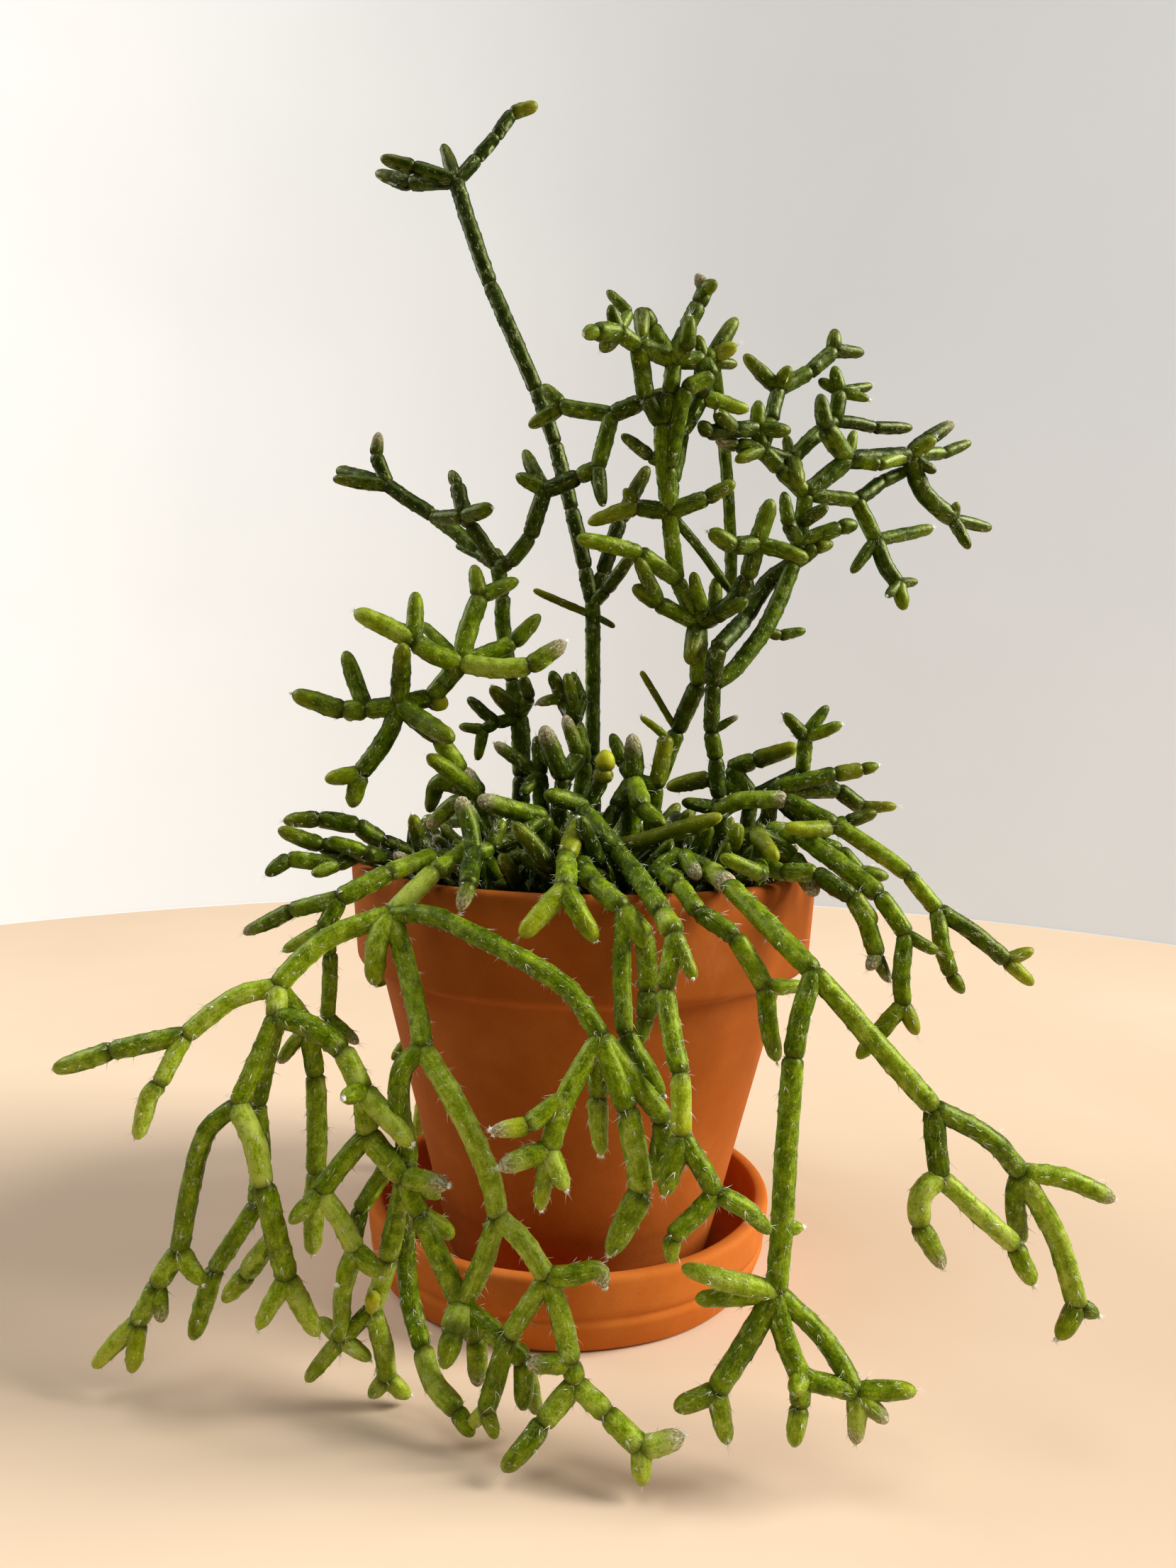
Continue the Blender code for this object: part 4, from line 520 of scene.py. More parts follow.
        [2.4, (36, 44), (1065, 1200, 46), (1100, 1228, 54), (1150, 1232, 56), (1205, 1262, 60),
         (1238, 1297, 62)],
        [2.3, (1205, 1262, 60), (1224, 1300, 62, bend), (1238, 1348, 64), (1226, 1365, 66)],
        [1.9, (1238, 1348, 64), (1258, 1382, 64)],
        [2.3, (1065, 1200, 46), (1068, 1238, 62), (1012, 1240, 66)],
    ],
}

stemRadius = 2.45    # the usual half thickness

# The back of the plant follows a rule: trails hang over the rim at these angles, in
# degrees from +X, with short stems between them. Pairs of numbers are ranges to draw from.
backRule = {
    'angles': (48, 66, 84, 101, 119, 136),
    'root': 46.0,
    'crest': 137.0,
    'reach': 84.0,
    'seed': 7,
    'trail': {'inRim': 15.0, 'hump': 2.0, 'lean': (-6.0, 6.0), 'leanAtCrest': 0.3, 'ends': (22.0, 58.0),
              'drop': (22.0, 34.0), 'outward': (-1.0, 3.5), 'aside': (-5.0, 5.0), 'lowest': 9.0},
    'twig': {'radius': (1.9, 2.4), 'aside': (9, 13), 'outward': (0, 6), 'drop': (6, 14), 'lowest': 6.0},
    'short': {'radius': (2.4, 2.8), 'turn': (7.0, 10.0), 'foot': (30.0, 34.0), 'middle': (42, 48),
              'rise': (-3, 1)},
    'branch': {'radius': (2.0, 2.6), 'outward': (6, 20), 'aside': (3, 9), 'rise': (2, 12)},
}


def viewAxes():
    # the eye's right, up and forward directions
    turn, down, lean = viewer['turn'], viewer['down'], viewer['lean']
    forward = np.array([math.sin(turn) * math.cos(down), math.cos(turn) * math.cos(down), -math.sin(down)])
    level = np.array([math.cos(turn), -math.sin(turn), 0.0])
    up = np.cross(level, forward)
    return (level * math.cos(lean) + up * math.sin(lean),
            up * math.cos(lean) - level * math.sin(lean), forward)


def seenAt(across, down, toward):
    # the point that the view shows there, so far toward the viewer from the pot's axis
    right, up, forward = viewAxes()
    middleX, middleY = viewer['middle']
    ray = forward + (right * (across - middleX) - up * (down - middleY)) / viewer['reach']
    return viewer['eye'] + ray * (-toward - viewer['eye'][1]) / ray[1]


def whereSeen(place):
    # the other way round: where the view shows a point
    right, up, forward = viewAxes()
    arm = place - viewer['eye']
    depth = arm @ forward
    return np.array([viewer['middle'][0] + arm @ right / depth * viewer['reach'],
                     viewer['middle'][1] - arm @ up / depth * viewer['reach']])


def unitAt(turn):
    # level, away from the pot's axis
    return np.array([math.cos(turn), math.sin(turn), 0.0])


def backTrail(angle, draw):
    # one trail over the back rim, as runs of points in millimetres, with side twigs
    rule, twigs = backRule['trail'], backRule['twig']
    turn = math.radians(angle)
    outward = unitAt(turn)
    sideways = np.array([-math.sin(turn), math.cos(turn), 0.0])
    lean = draw.uniform(*rule['lean'])
    height, reach = backRule['crest'], backRule['reach']
    joints = [outward * backRule['root'],
              outward * (potShape['rimRadius'] - rule['inRim']) + (0, 0, height + rule['hump']),
              outward * reach + sideways * lean * rule['leanAtCrest'] + (0, 0, height)]
    while height > draw.uniform(*rule['ends']):
        height -= draw.uniform(*rule['drop'])
        reach += draw.uniform(*rule['outward'])
        lean += draw.uniform(*rule['aside'])
        joints.append(outward * reach + sideways * lean + (0, 0, max(height, rule['lowest'])))
    runs = [[stemRadius, joints[0][:2]] + joints[1:]]
    for joint in joints[3:]:
        side = draw.choice([-1, 1])
        twig = joint + sideways * side * draw.uniform(*twigs['aside'])
        twig = twig + outward * draw.uniform(*twigs['outward'])
        twig[2] = max(twig[2] - draw.uniform(*twigs['drop']), twigs['lowest'])
        runs.append([draw.uniform(*twigs['radius']), joint, twig])
    return runs


def backCrown(angle, draw):
    # a short stem that stands and leans between two back trails, with two branches
    rule, branch = backRule['short'], backRule['branch']
    outward = unitAt(math.radians(angle + draw.uniform(*rule['turn'])))
    foot = outward * draw.uniform(*rule['foot'])
    middle = outward * draw.uniform(*rule['middle']) + (0, 0, backRule['crest'] + draw.uniform(*rule['rise']))
    runs = [[draw.uniform(*rule['radius']), foot[:2], middle]]
    for side in (-1, 1):
        tip = middle + outward * draw.uniform(*branch['outward'])
        tip += (side * draw.uniform(*branch['aside']), 0, draw.uniform(*branch['rise']))
        runs.append([draw.uniform(*branch['radius']), middle, tip])
    return runs


def isJoint(item):
    # a run also holds half thicknesses, which are numbers, and roots, which are pairs
    return not np.isscalar(item) and len(item) > 2


def leant(name, runs):
    # a stem's runs with every joint above the crown brought nearer as the stem leans
    if name not in leaning['stems']:
        return runs
    foot, rightward, upward = leaning['stems'][name]
    nearer = []
    for run in runs:
        moved = []
        for item in run:
            if isJoint(item):
                across, down, toward = item[:3]
                above = max(leaning['foot'] - down, 0.0)
                toward += min(above / leaning['growth'], 1.0) * rightward * (across - foot) / leaning['steps']
                item = (across, down, toward + upward * above / leaning['steps']) + item[3:]
            moved.append(item)
        nearer.append(moved)
    return nearer


def allStems():
    stems = {name: leant(name, runs) for name, runs in stemRuns.items()}
    draw = np.random.default_rng(backRule['seed'])
    for number, angle in enumerate(backRule['angles'], 1):
        stems[f'trail_back_{number}'] = backTrail(angle, draw)
    for number, angle in enumerate(backRule['angles'][:-1], 1):
        stems[f'crown_back_{number}'] = backCrown(angle, draw)
    return stems


def gentleBends(run):
    # the bends that hardly turn a run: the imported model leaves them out
    joints = [item for item in run if isJoint(item)]
    found = []
    for before, joint, after in zip(joints, joints[1:], joints[2:]):
        if isinstance(joint, tuple) and len(joint) == 4:
            into = seenAt(*joint[:3]) - seenAt(*before[:3])
            out = seenAt(*after[:3]) - seenAt(*joint[:3])
            turn = into @ out / np.linalg.norm(into) / np.linalg.norm(out)
            if turn > math.cos(math.radians(spread['leastBend'])):
                found.append(joint)
    return found


# The plan of the plant has every joint with whether it is fixed in the soil or only a
# bend, the links between joints, and each stem's runs as chains of joints.
def addJoint(plan, place, bends=False, fixed=False):
    plan['points'].append(np.array(place, dtype=float))
    plan['bends'].append(bends)
    plan['fixed'].append(fixed)
    return len(plan['points']) - 1


def addRoot(plan, node, x, y, radius, chain):
    low = addJoint(plan, (x, y, soilShape['top'] - soilShape['rootDepth']), fixed=True)
    high = addJoint(plan, (x, y, soilShape['top'] + soilShape['rootShows']), bends=True, fixed=True)
    plan['links'].append((node, low, high, radius))
    chain.append(low)
    return high


def addItem(plan, node, item, radius, chain):
    # a joint or a root of a run, which is a point in millimetres or one read in the view
    measured = isinstance(item, np.ndarray)
    if len(item) == 2:
        return addRoot(plan, node, item[0], item[1] if measured else -item[1], radius, chain)
    if measured:
        return addJoint(plan, item)
    return addJoint(plan, seenAt(*item[:3]), bends=len(item) == 4)


def addStem(plan, node, runs):
    known = {}
    plan['chains'][node] = []
    for run in runs:
        radius, chain, soft = stemRadius, [], []
        gentle = gentleBends(run)
        for item in run:
            if np.isscalar(item):
                radius = float(item)
                continue
            if isinstance(item, tuple) and item in gentle:
                soft.append((len(chain), seenAt(*item[:3])))
                continue
            key = tuple(float(value) for value in item[:3])
            if key not in known:
                known[key] = addItem(plan, node, item, radius, chain)
            if chain:
                plan['links'].append((node, chain[-1], known[key], radius))
            chain.append(known[key])
        plan['chains'][node].append((chain, radius, soft))


def potOutline():
    # half the pot with its soil as one filled outline: distance from the axis, height
    inner = potShape['rimRadius'] - potShape['rimWall']
    return np.array([(0, potShape['base']), (potShape['baseRadius'], potShape['base']),
                     (potShape['neckRadius'], potShape['neckHeight']),
                     (potShape['bandFootRadius'], potShape['bandFoot']),
                     (potShape['rimRadius'], potShape['rimTop']), (inner, potShape['rimTop']),
                     (inner, soilShape['top']), (0, soilShape['top'])])


def saucerOutline():
    inner = saucerShape['radius'] - saucerShape['wall']
    return np.array([(0, 0), (saucerShape['footRadius'], 0), (saucerShape['radius'], saucerShape['top']),
                     (inner, saucerShape['top']), (inner - saucerShape['innerSlope'], saucerShape['floor']),
                     (0, saucerShape['floor'])])


def clearOfOutline(places, room, outline, axisX):
    # how far each place has to move to keep its distance from a turned solid
    offset = places[:, :2] - (axisX, 0.0)
    radial = np.linalg.norm(offset, axis=1)
    spot = np.stack([radial, places[:, 2]], axis=1)
    edge = np.roll(outline, -1, axis=0) - outline
    along = ((spot[:, None] - outline) * edge).sum(-1) / (edge ** 2).sum(-1)
    nearest = outline + edge * np.clip(along, 0, 1)[..., None]
    away = spot[:, None] - nearest
    distance = np.linalg.norm(away, axis=-1)
    closest = distance.argmin(axis=1)
    rows = np.arange(len(spot))
    distance = distance[rows, closest]
    away = away[rows, closest] / np.maximum(distance, tiny)[:, None]
    low, high = outline[:, 1], np.roll(outline[:, 1], -1)
    crosses = (low > spot[:, None, 1]) != (high > spot[:, None, 1])
    rise = np.where(low == high, tiny, high - low)
    edgeAt = outline[:, 0] + (spot[:, None, 1] - low) / rise * edge[:, 0]
    inside = (crosses & (spot[:, None, 0] < edgeAt)).sum(axis=1) % 2 == 1
    signed = np.where(inside, -distance, distance)
    direction = np.where(inside[:, None], -away, away)
    push = np.maximum(room - signed, 0.0)[:, None] * direction
    radialPush = push[:, :1] * offset / np.maximum(radial, tiny)[:, None]
    return np.concatenate([radialPush, push[:, 1:]], axis=1)


def closestBetween(a, b, c, d):
    # where segments a-b and c-d come closest, as shares of their lengths
    first, second, between = b - a, d - c, a - c
    aa = (first ** 2).sum(-1)
    bb = (second ** 2).sum(-1)
    ab = (first * second).sum(-1)
    ac = (first * between).sum(-1)
    bc = (second * between).sum(-1)
    s = np.clip((ab * bc - ac * bb) / np.maximum(aa * bb - ab * ab, tinySquare), 0, 1)
    t = np.clip((ab * s + bc) / np.maximum(bb, tinySquare), 0, 1)
    s = np.clip((ab * t - ac) / np.maximum(aa, tinySquare), 0, 1)
    return s, t


def shareOut(move, count, hit, index, weight, push):
    # adds a push to the joints at one end of the segments that it falls on
    strong = hit & (weight > spread['leastShare'])
    np.add.at(move, index[strong], (push * weight[:, None])[strong])
    np.add.at(count, index[strong], weight[strong] ** 2)


def spreadApart(plan):
    # bend stems clear of each other, of the pot, the saucer and the soil, and above z = 0
    points = np.array(plan['points'])
    loose = ~np.array(plan['fixed'])
    ends = np.array([link[1:3] for link in plan['links']])
    reach = np.array([link[3] for link in plan['links']]) * spread['swell']
    names = list(dict.fromkeys(link[0] for link in plan['links']))
    owner = np.array([names.index(link[0]) for link in plan['links']])
    rooted = ~loose[ends].all(axis=1) & (points[ends[:, 0], 2] < soilShape['top'])
    middle = points[ends].mean(axis=1)
    half = np.linalg.norm(points[ends[:, 0]] - points[ends[:, 1]], axis=1) / 2
    one, two = np.triu_indices(len(ends), 1)
    apart = np.linalg.norm(middle[one] - middle[two], axis=1) - half[one] - half[two]
    near = (owner[one] != owner[two]) & (apart < spread['near'])
    one, two = one[near], two[near]
    wanted = reach[one] + reach[two] + spread['gap'] + spread['margin']
    one, two = ends[one], ends[two]
    free, reach = ends[~rooted], reach[~rooted]
    room = reach + spread['gap'] + spread['margin']
    pot, saucer = potOutline(), saucerOutline()
    for step in range(spread['rounds']):
        move = np.zeros_like(points)
        count = np.zeros(len(points))
        a, b = points[one[:, 0]], points[one[:, 1]]
        c, d = points[two[:, 0]], points[two[:, 1]]
        s, t = closestBetween(a, b, c, d)
        gap = a + (b - a) * s[:, None] - c - (d - c) * t[:, None]
        length = np.linalg.norm(gap, axis=1)
        short = np.maximum(wanted - length, 0.0)
        push = gap / np.maximum(length, tiny)[:, None] * short[:, None] * 0.5
        worst = short.max()
        for index, weight, shove in ((one[:, 0], 1 - s, push), (one[:, 1], s, push),
                                     (two[:, 0], 1 - t, -push), (two[:, 1], t, -push)):
            shareOut(move, count, short > 0, index, weight, shove)
        for fraction in np.linspace(0, 1, spread['samples']):
            spots = points[free[:, 0]] * (1 - fraction) + points[free[:, 1]] * fraction
            push = clearOfOutline(spots, room, pot, 0.0)
            push += clearOfOutline(spots, room, saucer, saucerShape['x'])
            push[:, 2] += np.maximum(reach + spread['margin'] - spots[:, 2], 0.0)
            size = np.linalg.norm(push, axis=1)
            worst = max(worst, size.max())
            for index, weight in ((free[:, 0], 1 - fraction), (free[:, 1], fraction)):
                shareOut(move, count, size > 0, index, np.full(len(free), weight), push)
        moved = (count > 0) & loose
        points[moved] += move[moved] / np.maximum(count[moved], 1.0)[:, None] * 2 * spread['ease']
        if worst < spread['margin'] * 0.5:
            break
    return points


def movedWith(plan, points, low, high, place):
    # a gentle bend keeps its place beside the line between two joints that were moved
    a, b = plan['points'][low], plan['points'][high]
    share = np.clip((place - a) @ (b - a) / ((b - a) @ (b - a)), 0.0, 1.0)
    return place + (points[low] - a) * (1 - share) + (points[high] - b) * share


def segmentsOf(plan, points, node):
    # each segment as the places that it passes, its half thickness and its end joints
    found = []
    for chain, radius, soft in plan['chains'][node]:
        places, start = [points[chain[0]]], chain[0]
        for number, (low, high) in enumerate(zip(chain, chain[1:]), 1):
            places += [movedWith(plan, points, low, high, place) for where, place in soft if where == number]
            places.append(points[high])
            if not plan['bends'][high] or number == len(chain) - 1:
                found.append({'places': np.array(places), 'radius': radius, 'ends': (start, high)})
                places, start = [points[high]], high
    used = [joint for segment in found for joint in segment['ends']]
    rooted = [chain[0] for chain, radius, soft in plan['chains'][node] if plan['fixed'][chain[0]]]
    for segment in found:
        segment['kinds'] = ['root' if joint in rooted else 'tip' if used.count(joint) == 1 else 'joint'
                            for joint in segment['ends']]
        segment['marks'] = {}
    return found


# Places in the view where a tip or a whole segment looks unlike the others.
marks = {
    'berry': [(854, 1062), (853, 1090), (627, 995), (526, 1830)],
    'yellow': [(665, 2015), (720, 1595), (968, 1620), (740, 1325), (795, 1225), (1108, 1168), (1020, 1155),
               (1085, 1220), (1292, 1455), (1455, 1341), (1455, 1387), (645, 1225), (836, 722), (727, 140),
               (1052, 486), (905, 948), (903, 1010), (754, 833), (1122, 1054), (940, 1040), (1216, 1086),
               (1262, 1138), (944, 1110), (135, 1925), (187, 1932)],
    'crust': [(768, 1025), (798, 1012), (648, 1128), (655, 1093), (700, 1115), (1110, 1130), (1040, 1245),
              (1080, 1165), (605, 1165), (1030, 1010), (793, 908), (1258, 1382), (1150, 1258)],
    'wool': [(480, 1810), (410, 1828), (488, 1548), (578, 1612), (628, 1672), (652, 1842), (697, 1646),
             (797, 1675), (838, 1325), (862, 1765), (1296, 1728), (1455, 1808), (1328, 1785), (1568, 1690),
             (697, 1595), (852, 1812), (762, 1703), (848, 1625), (962, 1603), (1095, 1822), (960, 2028)],
}
markReach = 45    # how far in the view a mark may be from its end
tipsFirst = 14    # how much nearer a joint has to be than a free tip to win a mark


def markSegments(segments):
    # gives each mark to the end that the view shows nearest to it, free tips before joints
    ends = []
    for segment in segments:
        for number, kind in enumerate(segment['kinds']):
            seen = whereSeen(segment['places'][-number])
            ends.append((segment, number, seen, 0 if kind == 'tip' else tipsFirst))
    for name, places in marks.items():
        for place in places:
            far = [np.linalg.norm(seen - place) + extra for segment, number, seen, extra in ends]
            nearest = int(np.argmin(far))
            if far[nearest] < markReach:
                segment, number = ends[nearest][:2]
                segment['marks'][name] = number


# A segment is a ball whose rings are strung along a line. Domes, what passes the joint
# and how far the ends' colours fade are in half thicknesses. Keys that end in Drawn hold
# ranges to draw from, and areoles keep some rings away from the ends.
skinLook = {
    'sides': 14,
    'ringStep': 1.0,
    'swell': 1.05,
    'joint': (0.92, 0.32),
    'tip': (1.35, 0.35),
    'root': (0.5, 0.0),
    'domeRings': 4,
    'domesMost': 0.96,
    'fades': (0.55, 2.4),
    'lineStep': 0.5,
    'straightSteps': 12,
    'pastEnds': 6.0,
    'facingStep': 0.4,
    'lump': 0.085,
    'lumpSize': 3.0,
    'areole': 0.06,
    'areoleRings': 2,
    'areolesKeep': (3, 2),
    'spiral': 5,
    'sway': 0.014,
    'swayDrawn': (0.3, 1.6),
    'swayMost': 0.9,
    'thicknessDrawn': (0.95, 1.05),
    'club': 0.035,
    'clubDrawn': (0.8, 1.5),
    'taper': 0.22,
    'taperDrawn': (0.5, 1.3),
    'patchy': 0.13,
    'darkest': 0.02,
    'toneWithin': (0.03, 0.98),
    'youngDrawn': (0.0, 0.3),
    'yellow': (0.22, 0.4),
    'berry': 1.6,
    'crusted': 0.14,
    'crustEdge': 0.3,
    'crustMost': 0.8,
    'beginDrawn': (0, 400),
    'seed': 31,
    # painted shade: rings below this height and within this distance of the axis are darker, by up to this
    # much
    'shaded': {'below': 152.0, 'over': 26.0, 'within': 70.0, 'by': 0.26},
}


def lengthsOf(line):
    return np.linalg.norm(np.diff(line, axis=0), axis=1)


def smoothLine(places):
    # a curve through the places
    if len(places) == 2:
        share = np.linspace(0, 1, skinLook['straightSteps'])[:, None]
        return places[0] * (1 - share) + places[1] * share
    ends = np.vstack([2 * places[0] - places[1], places, 2 * places[-1] - places[-2]])
    line = [places[0]]
    for a, b, c, d in zip(ends, ends[1:], ends[2:], ends[3:]):
        steps = max(4, int(np.linalg.norm(c - b) / skinLook['lineStep']))
        t = np.linspace(0, 1, steps)[1:, None]
        line += list(0.5 * (2 * b + (c - a) * t + (2 * a - 5 * b + 4 * c - d) * t ** 2
                            + (3 * b - a - 3 * c + d) * t ** 3))
    return np.array(line)


def swayed(line, length, draw):
    # a straight line bowed a little to one side
    share = np.linspace(0, 1, len(line))[:, None]
    lean = np.cross(line[-1] - line[0], draw.normal(size=3))
    lean = lean / max(np.linalg.norm(lean), tiny)
    return line + lean * np.sin(share * math.pi) * min(
        skinLook['sway'] * length * draw.uniform(*skinLook['swayDrawn']), skinLook['swayMost'])


def ringStations(length, radius, kinds):
    # where along the line each ring stands, and its share of the full width
    (domeA, pastA), (domeB, pastB) = (skinLook[kind] for kind in kinds)
    total = length + (pastA + pastB) * radius
    fit = min(1.0, skinLook['domesMost'] * total / ((domeA + domeB) * radius))
    domeA, domeB = domeA * radius * fit, domeB * radius * fit
    turns = np.linspace(0, math.pi / 2, skinLook['domeRings'] + 1)[:-1]
    steps = max(1, round((total - domeA - domeB) / skinLook['ringStep']))
    body = np.linspace(domeA, total - domeB, steps + 1)
    along = np.concatenate([domeA * (1 - np.cos(turns)), body, (total - domeB * (1 - np.cos(turns)))[::-1]])
    width = np.concatenate([np.sin(turns), np.ones(len(body)), np.sin(turns)[::-1]])
    return along - pastA * radius, width


def strungFrames(line, along):
    # places and cross directions at distances along a line, also a little past its ends
    past = skinLook['pastEnds']
    first, last = line[0] - line[1], line[-1] - line[-2]
    line = np.vstack([line[0] + first / np.linalg.norm(first) * past, line,
                      line[-1] + last / np.linalg.norm(last) * past])
    travelled = np.concatenate([[0], np.cumsum(lengthsOf(line))]) - past

    def at(distance):
        return np.stack([np.interp(distance, travelled, line[:, axis]) for axis in range(3)], axis=1)
    facing = at(along + skinLook['facingStep']) - at(along - skinLook['facingStep'])
    facing /= np.linalg.norm(facing, axis=1)[:, None]
    # any direction but the line's own
    aside = (0.3, 0.2, 1.0) if abs(facing[0][2]) < 0.9 else (1.0, 0.2, 0.1)
    across = np.cross(facing[0], aside)
    carried = []
    for face in facing:
        across = across - face * (across @ face)
        across /= np.linalg.norm(across)
        carried.append(across)
    return at(along), facing, np.array(carried), np.cross(facing, carried)


balls = {}


def meshFrom(bm, name):
    mesh = bpy.data.meshes.new(name)
    bm.to_mesh(mesh)
    bm.free()
    return mesh


def ballOf(rings):
    # a plain ball with that many bands from pole to pole
    if rings not in balls:
        bm = bmesh.new()
        bmesh.ops.create_uvsphere(bm, u_segments=skinLook['sides'], v_segments=rings, radius=1.0)
        balls[rings] = meshFrom(bm, 'ball')
    return balls[rings]


def addCopy(bm, mesh):
    # adds a mesh and returns its new vertices
    before = len(bm.verts)
    bm.from_mesh(mesh)
    bm.verts.ensure_lookup_table()
    return bm.verts[before:]


def stamp(bm, mesh, transform):
    # adds a mesh where the transform puts it
    copy = mesh.copy()
    copy.transform(transform)
    bm.from_mesh(copy)
    bpy.data.meshes.remove(copy)


def newGrowth():
    # a mesh that also holds where each vertex is on its stem, and its tones
    bm = bmesh.new()
    return {'bm': bm, 'at': bm.verts.layers.float_vector.new('skinAt'),
            'tone': bm.verts.layers.float_color.new('skinTone')}


def endFades(along, length, radius):
    # how near each ring is to each end, from 1 there to 0, over a short and a long way
    toEnds = np.stack([np.clip(along, 0, None), np.clip(length - along, 0, None)])
    return [np.exp(-(toEnds / (fade * radius)) ** 2) for fade in skinLook['fades']]


def paintedCrownShade(spots):
    # painted shade: how much darker each ring is, low in the crown where the stems shade each other
    shaded = skinLook['shaded']
    deep = np.clip((shaded['below'] - spots[:, 2]) / shaded['over'], 0, 1)
    return deep * shaded['by'] * (np.linalg.norm(spots[:, :2], axis=1) < shaded['within'])


def areolesOf(rings, offset):
    # the rings and sides where areoles sit, in two spirals
    sides, found = skinLook['sides'], []
    first, last = skinLook['areolesKeep']
    for ring in range(first, rings - last):
        if (ring + offset) % skinLook['areoleRings'] == 0:
            side = ring * skinLook['spiral'] + offset
            found += [(ring, side % sides), (ring, (side + sides // 2 - 1) % sides)]
    return found


def growSegment(growth, segment, tone, draw):
    look, marked, kinds = skinLook, segment['marks'], segment['kinds']
    isBerry = 'berry' in marked
    line = smoothLine(segment['places'])
    length = lengthsOf(line).sum()
    if len(segment['places']) == 2 and not isBerry:
        line = swayed(line, length, draw)
    radius = segment['radius'] * look['swell'] * draw.uniform(*look['thicknessDrawn'])
    along, width = ringStations(length, radius, kinds)
    spots, facing, across, upward = strungFrames(line, along)
    sides, rings = look['sides'], len(along) - 1
    near, wide = endFades(along, length, radius)
    club = np.clip(along / length, 0, 1) ** draw.uniform(*look['clubDrawn'])
    width = width * (1 + look['club'] * np.sin(math.pi * club))
    tips = [kind == 'tip' for kind in kinds]
    tipward = wide[0] * tips[0] + wide[1] * tips[1]
    joint = near[0] * (kinds[0] == 'joint') + near[1] * (kinds[1] == 'joint')
    young = tipward * draw.uniform(*look['youngDrawn'])
    if not isBerry:
        width = width * (1 - tipward * look['taper'] * draw.uniform(*look['taperDrawn']))
    crusted = [tip and not isBerry and draw.random() < look['crusted'] for tip in tips]
    crust = (near[0] * crusted[0] + near[1] * crusted[1]) ** look['crustEdge'] * look['crustMost']
    if 'crust' in marked:
        crust = near[marked['crust']] ** look['crustEdge']
    if 'yellow' in marked:
        least, more = look['yellow']
        young = least + more * wide[marked['yellow']]
    if isBerry:
        young = np.full(len(along), look['berry'])
    turns = math.tau * np.arange(sides) / sides
    outward = (across[:, None] * np.cos(turns)[None, :, None]
               + upward[:, None] * np.sin(turns)[None, :, None])
    places = spots[:, None] + outward * (width * radius)[:, None, None]
    offset = int(draw.integers(0, sides))
    shade = float(np.clip(tone + draw.normal() * look['patchy'], *look['toneWithin']))
    begin = draw.uniform(*look['beginDrawn'])
    # painted shade, darker low in the crown
    deep = paintedCrownShade(spots)
    areoles = areolesOf(rings, offset)
    raised = set(areoles)
    for vert in addCopy(growth['bm'], ballOf(rings)):
        ring = round(rings * (1 - math.acos(max(-1.0, min(1.0, vert.co.z))) / math.pi))
        side = round(math.atan2(vert.co.y, vert.co.x) / math.tau * sides) % sides
        place, turn = places[ring, side], turns[side]
        lump = look['lump'] * noise.noise(Vector(place / look['lumpSize']))
        lump += look['areole'] * ((ring, side) in raised)
        vert.co = Vector(place + outward[ring, side] * (lump * width[ring] * radius)) * mm
        vert[growth['at']] = (radius * math.cos(turn), radius * math.sin(turn), begin + along[ring])
        green = max(shade - deep[ring], look['darkest'])
        vert[growth['tone']] = (joint[ring], green, crust[ring], young[ring])
    segment['areoles'] = [(places[ring, side], outward[ring, side], facing[ring]) for ring, side in areoles]
    segment['tips'] = [(spots[end], facing[end] * (1 if end else -1)) for end in (0, -1)]
    segment['fullRadius'] = radius


def placed(name, data):
    thing = bpy.data.objects.new(name, data)
    bpy.context.scene.collection.objects.link(thing)
    return thing


def finishPiece(bm, name, material, nodes=(), smoothAngle=None):
    data = meshFrom(bm, name)
    data.shade_smooth()
    if smoothAngle:
        data.set_sharp_from_angle(angle=math.radians(smoothAngle))
    data.materials.append(material)
    piece = placed(name, data)
    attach(piece, 'root')
    if nodes:
        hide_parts(*nodes)


# Materials
def newMaterial(name):
    material = bpy.data.materials.new(name)
    material.use_nodes = True
    return material, material.node_tree, material.node_tree.nodes['Principled BSDF']


def plug(tree, node, inputs):
    # an input that is a socket is linked, any other is a value
    for key, value in inputs.items():
        if isinstance(value, bpy.types.NodeSocket):
            tree.links.new(value, node.inputs[key])
        else:
            node.inputs[key].default_value = value


def wire(tree, kind, inputs=None, **settings):
    made = tree.nodes.new('ShaderNode' + kind)
    for key, value in settings.items():
        setattr(made, key, value)
    plug(tree, made, inputs or {})
    return made


def maths(tree, operation, first, second, clamp=False):
    return wire(tree, 'Math', {0: first, 1: second}, operation=operation, use_clamp=clamp).outputs[0]


def times(tree, first, second, clamp=False):
    return maths(tree, 'MULTIPLY', first, second, clamp)


def plus(tree, total, *others, clamp=False):
    # only the whole sum is clamped
    for number, other in enumerate(others, 1):
        total = maths(tree, 'ADD', total, other, clamp and number == len(others))
    return total


def weighed(tree, values, weights):
    # the sum of the named values, each times its weight
    return plus(tree, *[times(tree, values[name], weight) for name, weight in weights.items()])


def centred(tree, value, swing):
    # a noise that goes as far below nought as above
    return times(tree, maths(tree, 'SUBTRACT', value, 0.5), swing)


def inverse(tree, value):
    return maths(tree, 'SUBTRACT', 1.0, value)


def tinted(tree, factor, first, second):
    return wire(tree, 'Mix', {0: factor, 6: first, 7: second}, data_type='RGBA', blend_type='MIX').outputs[2]


def ramp(tree, factor, stops):
    made = wire(tree, 'ValToRGB', {0: factor})
    elements = made.color_ramp.elements
    while len(elements) < len(stops):
        elements.new(0.5)
    for element, (position, colour) in zip(elements, stops):
        element.position = position
        element.color = (*colour, 1.0)
    return made.outputs[0]


